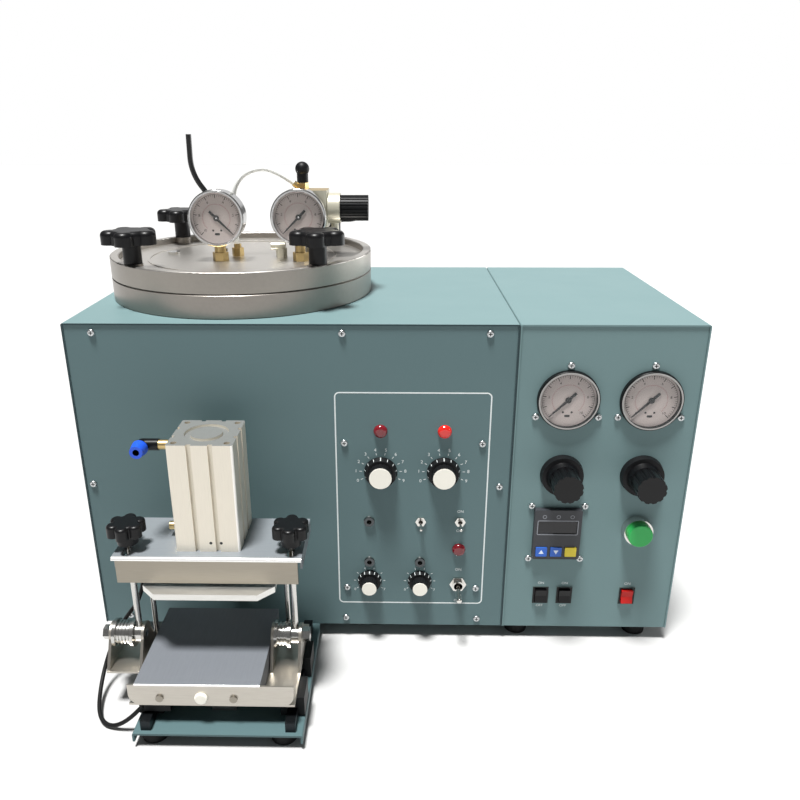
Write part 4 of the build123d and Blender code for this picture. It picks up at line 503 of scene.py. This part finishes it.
heat_knob_xs, heat_knob_z = (-3.0, 60.0), 199.0
air_knob_xs, air_knob_z = (-15.0, 38.0), 71.5
for knob_x in heat_knob_xs:
    knob_scale(knob_x, heat_knob_z, marks=10, radius=20.2, start=-112.0, bar=(0.6, ink_sheet, 2.4),
               numbers=range(10), number_radius=24.8, number_size=4.8)
for knob_x in air_knob_xs:
    knob_scale(knob_x, air_knob_z, marks=8, radius=15.6, start=-125.0, bar=(0.6, ink_sheet, 2.0),
               numbers=(0, 7), number_radius=19.0, number_size=4.0)
switch_text = 4.2
toggle_x, rocker_xs, over_rocker, under_rocker = 78.5, (166.5, 191.5, 257.5), 70.5, 42.5
for text, switch_x, switch_z in (
        ("ON", toggle_x, 155.0), ("OFF", toggle_x, 132.5),
        ("ON", toggle_x, 86.0), ("OFF", toggle_x, 47.6),
        ("ON", rocker_xs[0], over_rocker), ("ON", rocker_xs[1], over_rocker),
        ("OFF", rocker_xs[0], under_rocker), ("OFF", rocker_xs[1], under_rocker),
        ("ON", rocker_xs[2], over_rocker)):
    prints.append((words(text, switch_text, switch_x, switch_z, panel_front), panel_ink))
piece("panel_printing", prints, "base")

# ---------------------------------------------------------------- wax controls
# Moulded black knobs with a white scale on the skirt and a cream cap pressed
# into the face, red lamps, sockets and chromed toggle switches in the panel.
black_plastic = finish("black_plastic", "141517", "0c0d0e", rough=0.38, fineness=1100.0, bump=0.12,
                       depth=0.03, shader_values=dull)
moulded_gloss = (("Specular IOR Level", 0.3),)
gloss_black = finish("gloss_black", "0c0c0e", "08080a", rough=0.24, fineness=900.0,
                     shader_values=moulded_gloss)
chrome = finish("chrome", "e4e2de", "cfccc6", rough=0.08, spread=0.06, fineness=500.0,
                shader_values=metal)
lamp_glass = (("Coat Weight", 0.6),)
lamp_dark = finish("lamp_dark", "7a1420", "5c0d16", rough=0.12, spread=0.04,
                   shader_values=lamp_glass)
lamp_lit = finish("lamp_lit", "cf2019", "b81813", rough=0.12, spread=0.04,
                  shader_values=(*lamp_glass, ("Emission Color", ink("ff3020")),
                                 ("Emission Strength", 0.1)))
button_green = finish("button_green", "2db85a", "27ac50", rough=0.35, spread=0.1)
cream_cap = finish("cream_cap", "f6f3e9", "eae7da", rough=0.45, spread=0.12)
rocker_red = finish("rocker_red", "c4211d", "ae1a17", rough=0.3, shader_values=dull)
dark_nickel = finish("dark_nickel", "5c5f61", "4a4d4f", rough=0.28, fineness=900.0,
                     shader_values=metal)


def near(places, reach, front=panel_front):
    """A rule for faces in front of a plane whose middle is within reach of one of the places."""
    return lambda low, high: high.y < front and any(
        hypot((low.x + high.x) / 2 - x, (low.z + high.z) / 2 - z) < reach for x, z in places)


lit_lamp_places, dark_lamp_places = ((60.0, 244.0),), ((-3.0, 244.0), (78.0, 111.0))
lamp_reach = 7.5
jack_places, jack_hole, jack_reach = ((-15.0, 143.5), (-15.0, 95.5), (38.0, 95.5)), 2.7, 6.0
rocker_places, rocker_reach = [(rocker_x, 56.5) for rocker_x in rocker_xs], 16.0
jack_floor, behind_panel = panel_front + 3.0, panel_front + 0.5
# The floors of the jack holes carry painted shade.
dress("panel_fittings", chrome,
      (lamp_lit, near(lit_lamp_places, lamp_reach)),
      (lamp_dark, near(dark_lamp_places, lamp_reach)),
      (recess_shade, near(jack_places, jack_hole, front=jack_floor)),
      (dark_nickel, near(jack_places, jack_reach)),
      (gloss_black, near(rocker_places, rocker_reach)),
      (black_plastic, lambda low, high: low.y > behind_panel))
for toggle in ("auto_toggle", "vacuum_toggle", "power_toggle"):
    dress(toggle, chrome)

# Each knob's skirt slopes, so its marks tilt with it.  The longer bar at the top
# is the pointer; it counts as two marks, because a scale has a first and a last.
skirt_slope, cap_thickness = 108.0, 0.7
for knob, knob_x, knob_z, skirt, skirt_middle, cap, cap_front in (
        ("wax_temperature_knob", heat_knob_xs[0], heat_knob_z, 15.83, -78.5, 11.1, -89.5),
        ("valve_temperature_knob", heat_knob_xs[1], heat_knob_z, 15.83, -78.5, 11.1, -89.5),
        ("vacuum_knob", air_knob_xs[0], air_knob_z, 11.98, -78.0, 7.6, -90.5),
        ("injection_knob", air_knob_xs[1], air_knob_z, 11.98, -78.0, 7.6, -90.5)):
    dress(knob, black_plastic)
    marks = [(plate(circle(knob_x, knob_z, cap), None, cap_front, cap_front - cap_thickness),
              cream_cap)]
    for count, radius, start, sweep, bar in ((11, skirt, -130.0, 260.0, (0.5, 0.12, 3.6)),
                                             (2, skirt + 0.02, 0.0, 0.0, (1.1, 0.16, 4.6))):
        marks.append((ticks(count, radius, start, sweep, bar, knob_x, skirt_middle, knob_z,
                            panel_ink, tilt=skirt_slope), panel_ink))
    piece(knob + "_cap", marks, knob)

# ---------------------------------------------------------------- panel gauges and regulators
# Black steel gauges with a bright ring, a paper dial under glass and a black
# pointer, and two regulators whose black ribbed knobs stand out from their ring
# nuts.
gauge_black = finish("gauge_black", "101112", "0a0b0c", rough=0.3, fineness=900.0,
                     shader_values=dull)
gauge_glass = finish("gauge_glass", "a9aeb0", rough=0.05, spread=0.0,
                     shader_values=(("Alpha", 0.06),))
dial_paper = finish("dial_paper", "c6bab6", "baaeaa", rough=0.65, fineness=900.0)
dial_ink = finish("dial_ink", "1c1b1c", "141314", rough=0.6)
dial_red = finish("dial_red", "a05050", "8c4444", rough=0.6)
glass_front, glass_back = 1.1, 2.5
dial_depth, paper_height, mark_height, paper_gap, needle_hole = 4.6, 0.15, 0.2, 0.2, 1.3
dial_start, dial_sweep, dial_numbers, dial_text = -135.0, 270.0, (0, 2, 4, 6, 8, 10), 3.8
number_inset, dots_out, dots_down, dot_radius = 8.6, 4.2, 12.6, 1.1
oval_down, oval_half, oval_half_height = 16.4, 2.7, 1.2


def glass_rule(face_y):
    """A rule for the faces of the glass that sits under a gauge's rim."""
    return lambda low, high: low.y > face_y + glass_front and high.y < face_y + glass_back


def gauge_dial(name, x, z, face_y, well, body, numbers=dial_numbers):
    """Paper dial on the floor of a gauge's well, with its scale, numbers and marks."""
    floor_y = face_y + dial_depth
    paper, top = floor_y - paper_height, floor_y - mark_height
    parts = [(plate(circle(x, z, well - paper_gap), circle(x, z, needle_hole), floor_y, paper),
              dial_paper)]
    for count, inset, width, length, colour in (
            (11, 4.4, 0.75, 3.4, dial_ink), (51, 3.6, 0.3, 1.8, dial_ink),
            (71, 12.0, 0.25, 1.1, dial_red), (91, 2.5, 1.5, 0.3, dial_ink)):
        parts.append((ticks(count, well - inset, dial_start, dial_sweep, (width, ink_sheet, length),
                            x, top, z, colour), colour))
    number_radius = well - number_inset
    for place, number in enumerate(numbers):
        turn = radians(dial_start + dial_sweep * place / (len(numbers) - 1))
        parts.append((words(str(number), dial_text, x + number_radius * sin(turn),
                            z + number_radius * cos(turn), paper), dial_ink))
    for dot_x in (x - dots_out, x + dots_out):
        parts.append((plate(circle(dot_x, z - dots_down, dot_radius, 20), None, paper, top),
                      dial_ink))
    oval = rounded(x, z - oval_down, oval_half, oval_half_height, dot_radius)
    parts.append((plate(oval, None, paper, top), dial_ink))
    piece(name, parts, body)


panel_gauge_places = ((177.8, 277.5), (257.2, 277.5))
panel_gauge_face, panel_gauge_well = -80.0, 27.4
gauge_ring = finish("gauge_ring", "a9a8a6", "979694", rough=0.35, fineness=900.0)
dress("panel_gauges", gauge_black,
      (gauge_glass, glass_rule(panel_gauge_face)),
      (gauge_ring, lambda low, high: high.y < panel_gauge_face + 0.02))
for name, (gauge_x, gauge_z) in zip(("forward_dial", "clamp_dial"), panel_gauge_places):
    gauge_dial(name, gauge_x, gauge_z, panel_gauge_face, panel_gauge_well, "base")
for needle in ("forward_needle", "clamp_needle", "left_lid_needle", "right_lid_needle"):
    dress(needle, dial_ink)
dress("panel_regulators", black_plastic)
for knob in ("forward_pressure_knob", "clamp_pressure_knob"):
    dress(knob, gloss_black)

# ---------------------------------------------------------------- timer, start button and rockers
# A dark grey timer with a framed display and three soft keys, a green button
# in a chromed bezel, two black rockers and a red one.
timer_grey = finish("timer_grey", "34363b", "2b2d31", rough=0.45, fineness=1300.0, bump=0.1,
                    depth=0.03)
display_dark = finish("display_dark", "1b1a1e", "151418", rough=0.12, spread=0.03)
frame_grey = finish("frame_grey", "8d9097", "80838a", rough=0.5)
key_blue = finish("key_blue", "2a63c4", "2358b4", rough=0.42)
key_yellow = finish("key_yellow", "ecd63a", "dfc72c", rough=0.42)
key_mark = finish("key_mark", "dfe8f6", rough=0.5)
timer_x, timer_z, timer_front = 177.5, 132.0, -81.0
display_z, display_half, display_half_height = timer_z + 8.5, 19.5, 7.0
display_floor, timer_mark, frame_outer, frame_inner = timer_front + 0.8, timer_front - 0.1, 1.4, 0.6
dress("timer_body", timer_grey, (display_dark, in_plane(display_floor, slack=0.2)))
timer_marks = [(plate(rounded(timer_x, display_z, display_half + frame_outer,
                              display_half_height + frame_outer, 1.6),
                      rounded(timer_x, display_z, display_half + frame_inner,
                              display_half_height + frame_inner, 1.0),
                      timer_front, timer_mark), frame_grey)]
signal_z, signal_outer, signal_inner, signal_steps = timer_z + 21.0, 2.1, 1.5, 28
for signal_x in (timer_x - 14.0, timer_x, timer_x + 14.0):
    timer_marks.append((plate(circle(signal_x, signal_z, signal_outer, signal_steps),
                              circle(signal_x, signal_z, signal_inner, signal_steps),
                              timer_front, timer_mark), frame_grey))
piece("timer_marks", timer_marks, "base")
key_front, key_xs, key_z = -82.0, (162.5, 177.5), 112.5
arrow_half, arrow_foot, arrow_tip = 2.6, 2.0, 2.4
for key, key_x, way in zip(("timer_up_key", "timer_down_key"), key_xs, (1, -1)):
    dress(key, key_blue)
    points = [(key_x - arrow_half, key_z - arrow_foot * way),
              (key_x + arrow_half, key_z - arrow_foot * way),
              (key_x, key_z + arrow_tip * way)]
    piece(key + "_arrow", [(plate(points, None, key_front, key_front - ink_sheet), key_mark)],
          key)
dress("timer_set_key", key_yellow)
dress("start_button", button_green)
for rocker in ("forward_rocker", "clamp_rocker"):
    dress(rocker, gloss_black)
dress("mains_rocker", rocker_red)

# ---------------------------------------------------------------- wax pot, valve and connectors
# A turned aluminium pot with a band heater round it, and a brass valve whose
# nozzle looks out over the mould tray.  The mains inlet is black plastic, and
# the air inlets are brass.

# Rings that a lathe leaves: noise along the distance from the turning axis.
turned_metal, turned_in, turned_out = shader_group(
    "turned_rings", [("Place", "Vector"), ("Middle", "Vector"), ("Rings", "Float")],
    [("Height", "Float")])
turned_shift = made(turned_metal, "ShaderNodeVectorMath", operation="SUBTRACT")
turned_split = made(turned_metal, "ShaderNodeSeparateXYZ")
turned_flat = made(turned_metal, "ShaderNodeCombineXYZ")
turned_length = made(turned_metal, "ShaderNodeVectorMath", operation="LENGTH")
turned_noise = made(turned_metal, "ShaderNodeTexNoise", [("Detail", 3.0)], noise_dimensions="1D")
for start, end in (
        (turned_in.outputs["Place"], turned_shift.inputs[0]),
        (turned_in.outputs["Middle"], turned_shift.inputs[1]),
        (turned_shift.outputs[0], turned_split.inputs[0]),
        (turned_split.outputs["X"], turned_flat.inputs["X"]),
        (turned_split.outputs["Y"], turned_flat.inputs["Y"]),
        (turned_flat.outputs[0], turned_length.inputs[0]),
        (turned_length.outputs["Value"], turned_noise.inputs["W"]),
        (turned_in.outputs["Rings"], turned_noise.inputs["Scale"]),
        (turned_noise.outputs["Fac"], turned_out.inputs["Height"])):
    turned_metal.links.new(start, end)
pot_x, pot_y, ring_fineness, ring_depth = -158.0, 79.5, 1500.0, 0.03


def turned(name, base, second, rough, bump):
    """Aluminium turned about the pot's axis."""
    material = finish(name, base, second, rough=rough, spread=0.12, fineness=260.0,
                      shader_values=metal)
    tree = material.node_tree
    place = made(tree, "ShaderNodeTexCoord")
    rings = made(tree, "ShaderNodeGroup", node_tree=turned_metal)
    rings.inputs["Middle"].default_value = (pot_x * mm, pot_y * mm, 0.0)
    rings.inputs["Rings"].default_value = ring_fineness
    relief = made(tree, "ShaderNodeBump", [("Strength", bump), ("Distance", ring_depth * mm)])
    tree.links.new(place.outputs["Object"], rings.inputs["Place"])
    tree.links.new(rings.outputs["Height"], relief.inputs["Height"])
    tree.links.new(relief.outputs["Normal"], tree.nodes["Principled BSDF"].inputs["Normal"])
    return material


turned_aluminium = turned("turned_aluminium", "9c9690", "8a8680", rough=0.3, bump=0.35)
heater_band = finish("heater_band", "7d5a3c", "6b4a30", rough=0.5, fineness=500.0)
pot_outside, heater_bottom, heater_top = 105.15, 149.5, 260.5
dress("wax_pot", turned_aluminium,
      (heater_band, lambda low, high: heater_bottom < low.z and high.z < heater_top
       and hypot((low.x + high.x) / 2 - pot_x, (low.y + high.y) / 2 - pot_y) > pot_outside))
brass = finish("brass", "d9c08c", "c2a970", rough=0.28, spread=0.15, fineness=600.0,
               shader_values=metal)
dress("injection_valve", brass)
air_inlets_end = 215.0
dress("rear_connectors", black_plastic, (brass, lambda low, high: high.x < air_inlets_end))

# ---------------------------------------------------------------- clamp carriage
# Folded stainless sheet on two rails, pushed by an air cylinder underneath.
# The tray that carries the mould is blue grey anodised aluminium, its front edge polished and given
# a faint glow as a painted highlight.  Spools, eye bolts and posts are bright steel.
across_x, along_y, along_z = (4.0, 60.0, 60.0), (40.0, 3.0, 40.0), (60.0, 60.0, 3.0)
# White emission for edges that glow a little: painted highlights.
glow = (("Emission Color", ink("ffffff")),)
brushed_steel = finish("brushed_steel", "c9c4bb", "b5afa6", rough=0.3, spread=0.14, fineness=26.0,
                       bump=0.1, depth=0.02, stretch=across_x, shader_values=metal)
bright_steel = finish("bright_steel", "dad9d6", "bdbcb8", rough=0.14, spread=0.1, fineness=700.0,
                      shader_values=metal)
black_block = finish("black_block", "121314", "0b0c0d", rough=0.45, fineness=900.0, bump=0.1,
                     shader_values=dull)
tray_grey = finish("tray_grey", "6f7379", "64686e", rough=0.5, spread=0.14, fineness=40.0,
                   stretch=along_y, shader_values=(("Metallic", 0.2),))
# Near white with a faint glow for polished beads: partly real polish, partly a painted highlight.
polished_glow = finish("polished_edge_glow", "f4f3f1", "e6e4e0", rough=0.16, spread=0.05,
                  shader_values=(("Metallic", 0.6), *glow, ("Emission Strength", 0.12)))
tray_bead_back, front_plate_front = -223.9, -223.5
rail_steel = finish("rail_steel", "33373a", "26292c", rough=0.34, fineness=700.0,
                    shader_values=metal)
rail_inner_left, rail_inner_right = -203.0, -89.0
dress("carriage_drive", valve_alloy,
      (rail_steel, lambda low, high: high.x < rail_inner_left or low.x > rail_inner_right))
dress("carriage_frame", brushed_steel)
dress("mould_tray", tray_grey, (polished_glow, lambda low, high: high.y < tray_bead_back))
dress("slide_blocks", black_block)
for bright in ("side_axles", "tie_rods"):
    dress(bright, bright_steel)
plate_screw = finish("plate_screw", "a39d92", "8c867c", rough=0.3, spread=0.2, fineness=500.0,
                     shader_values=metal)
button_place, button_reach = (-160.5, 46.7), 6.2
plate_screw_places, screw_reach = ((-198.0, 46.2), (-131.5, 46.2)), 4.0
dress("carriage_fittings", black_plastic,
      (cream_cap, near([button_place], button_reach, front=front_plate_front + 0.2)),
      (plate_screw, near(plate_screw_places, screw_reach, front=front_plate_front + 0.2)))

# ---------------------------------------------------------------- clamp bridge, cylinder and head
# A folded aluminium bridge carries the compact air cylinder, whose anodised
# barrel has slots for sensors.  Its rod pushes the bevelled clamp plate down on
# the mould.  Two black star knobs on the eye bolts hold the bridge.
bridge_metal = finish("bridge_metal", "8b9196", "80858a", rough=0.4, spread=0.14, fineness=30.0,
                      bump=0.08, depth=0.02, stretch=across_x, shader_values=(("Metallic", 0.35),))
lip_metal = finish("lip_metal", "a49d91", "969084", rough=0.36, spread=0.12, fineness=30.0,
                   bump=0.08, depth=0.02, stretch=across_x, shader_values=metal)
lip_back, bead_bottom, bead_back = -171.0, 156.9, -172.2
# The bridge's front bead is polished, with a faint glow as a painted highlight.
dress("bridge", bridge_metal,
      (polished_glow, lambda low, high: low.z > bead_bottom and high.y < bead_back),
      (lip_metal, lambda low, high: high.y < lip_back and high.z < bead_bottom + 1.0))
barrel = finish("barrel_anodised", "ebe4d6", "ddd6c8", rough=0.4, spread=0.1, fineness=30.0,
                bump=0.08, depth=0.02, stretch=along_z, shader_values=(("Metallic", 0.45),))
# The slots' floors and walls are a little darker than the barrel: painted shade in the slots.
slot_shade = finish("slot_shade", "e0d9ca", "d3ccbd", rough=0.45,
                    shader_values=(("Metallic", 0.4),))
barrel_end = finish("barrel_end", "8e908e", "7f817f", rough=0.42, spread=0.12, fineness=300.0,
                    bump=0.1, depth=0.03, shader_values=(("Metallic", 0.45),))
# Near white with a faint glow on the barrel's front right corner: a painted highlight along the
# edge.
barrel_edge_highlight = finish("barrel_edge_highlight", "fbf8f2", "f0ede6", rough=0.3, spread=0.05,
                     shader_values=(("Metallic", 0.3), *glow, ("Emission Strength", 0.08)))
barrel_x, barrel_y, barrel_half, barrel_bottom, barrel_top = -159.0, -133.5, 29.5, 160.0, 266.0
slot_lip, slot_depth, corner_width, end_depth = 2.4, 4.0, 2.01, 3.0


def full_height(low, high):
    """Faces that run up the whole barrel."""
    return high.z - low.z > barrel_top - barrel_bottom - 5.0


def in_slot(low, high):
    """Faces on the floors and walls of the barrel's sensor slots."""
    deep_x = max(abs(low.x - barrel_x), abs(high.x - barrel_x)) < barrel_half - slot_lip
    deep_y = max(abs(low.y - barrel_y), abs(high.y - barrel_y)) < barrel_half - slot_lip
    from_middle = hypot((low.x + high.x) / 2 - barrel_x, (low.y + high.y) / 2 - barrel_y)
    return deep_x and deep_y and from_middle > barrel_half - slot_depth and full_height(low, high)


# Painted shade in the slots and a painted highlight on the front right corner.
dress("clamp_cylinder", barrel, (slot_shade, in_slot),
      (barrel_edge_highlight, lambda low, high: low.x > barrel_x + barrel_half - corner_width
       and high.y < barrel_y - barrel_half + corner_width and full_height(low, high)),
      (barrel_end, lambda low, high: low.z > barrel_top - end_depth and high.z - low.z < 0.6))
barrel_front, hole_z = barrel_y - barrel_half, barrel_bottom + 9.0
hole_radius, hole_sheet = 1.4, 0.04
# The cylinder's two ports are dark discs on the barrel's front: painted shade where the holes are.
port_holes = []
for hole_x in (barrel_x + 3.0, barrel_x + 12.5):
    port_holes.append((plate(circle(hole_x, hole_z, hole_radius, 24), None,
                             barrel_front, barrel_front - hole_sheet), recess_shade))
piece("barrel_port_shade", port_holes, "carriage")
plate_metal = finish("plate_metal", "ecebe7", "d4d3ce", rough=0.3, spread=0.2, fineness=30.0,
                     bump=0.12, depth=0.03, stretch=across_x, shader_values=metal)
clamp_plate_top = 130.0
dress("clamp_head", plate_metal,
      (bright_steel, lambda low, high: low.z > clamp_plate_top - 0.1 and high.z - low.z > 1.0))
collar_blue = finish("collar_blue", "1d55d8", "174abf", rough=0.3)
upper_fitting, elbow_right, collar_back = 240.0, -203.4, -141.3
dress("air_fittings", brass,
      (collar_blue, lambda low, high: low.z > upper_fitting and high.y < collar_back),
      (gloss_black, lambda low, high: low.z > upper_fitting and high.x < elbow_right))
star_black = finish("star_black", "0f0f11", "08080a", rough=0.3, spread=0.12, fineness=800.0,
                    bump=0.18, depth=0.05, shader_values=moulded_gloss)
for knob in ("left_star_knob", "right_star_knob"):
    dress(knob, star_black)

# ---------------------------------------------------------------- lid
# A turned aluminium lid held by four black star knobs.  It carries a vacuum
# and a pressure gauge on brass stems, an air regulator in cream metal with a
# black knob, a bent black lifting rod, a hose fitting and a plug.
lid_floor, flat = 390.0, 0.9
# The lid's top face is a lighter copy of its turned side: painted sheen from the overhead light.
dress("lid", turned("lid_side", "a09b94", "908b85", rough=0.3, bump=0.4),
      (turned("lid_face_sheen", "dcd8d2", "c6c2bc", rough=0.33, bump=0.6),
       lambda low, high: low.z > lid_floor - 0.1 and high.z - low.z < flat))
for number in (1, 2, 3, 4):
    dress(f"lid_knob_{number}", star_black)
lid_gauge_face, lid_gauge_well, stem_top = 34.0, 26.4, 408.5
gauge_chrome = finish("gauge_chrome", "c8c8c8", "b4b4b4", rough=0.16, spread=0.06,
                      shader_values=metal)
dress("lid_gauges", gauge_chrome,
      (gauge_glass, glass_rule(lid_gauge_face)),
      (brass, lambda low, high: high.z < stem_top))
for name, gauge_x, gauge_z, numbers in (("left_lid_dial", -176.0, 435.0, dial_numbers[::-1]),
                                        ("right_lid_dial", -90.2, 436.0, dial_numbers)):
    gauge_dial(name, gauge_x, gauge_z, lid_gauge_face, lid_gauge_well, "lid", numbers)
regulator_cream = finish("regulator_cream", "cbc7b6", "b8b4a3", rough=0.32, spread=0.12,
                         fineness=500.0, shader_values=(("Metallic", 0.35),))
regulator_top, cap_bottom = 460.9, 467.8
drain_top, drain_bottom, drain_left = 422.1, 399.0, -75.0
dress("lid_regulator", regulator_cream,
      (black_plastic, lambda low, high: low.z > cap_bottom),
      (brass, lambda low, high: low.z > regulator_top),
      (black_plastic, lambda low, high: high.z < drain_top and low.z > drain_bottom
       and low.x > drain_left))
dress("lid_regulator_knob", black_plastic)
rod_black = finish("rod_black", "1a1b1c", "101112", rough=0.3, fineness=900.0)
rod_bottom, rod_seat, rod_right, hose_fitting_left = 398.9, 400.0, -173.0, -172.0
dress("lid_fittings", bright_steel,
      (rod_black, lambda low, high: low.z > rod_bottom and high.z > rod_seat
       and high.x < rod_right),
      (brass, lambda low, high: low.x > hose_fitting_left))
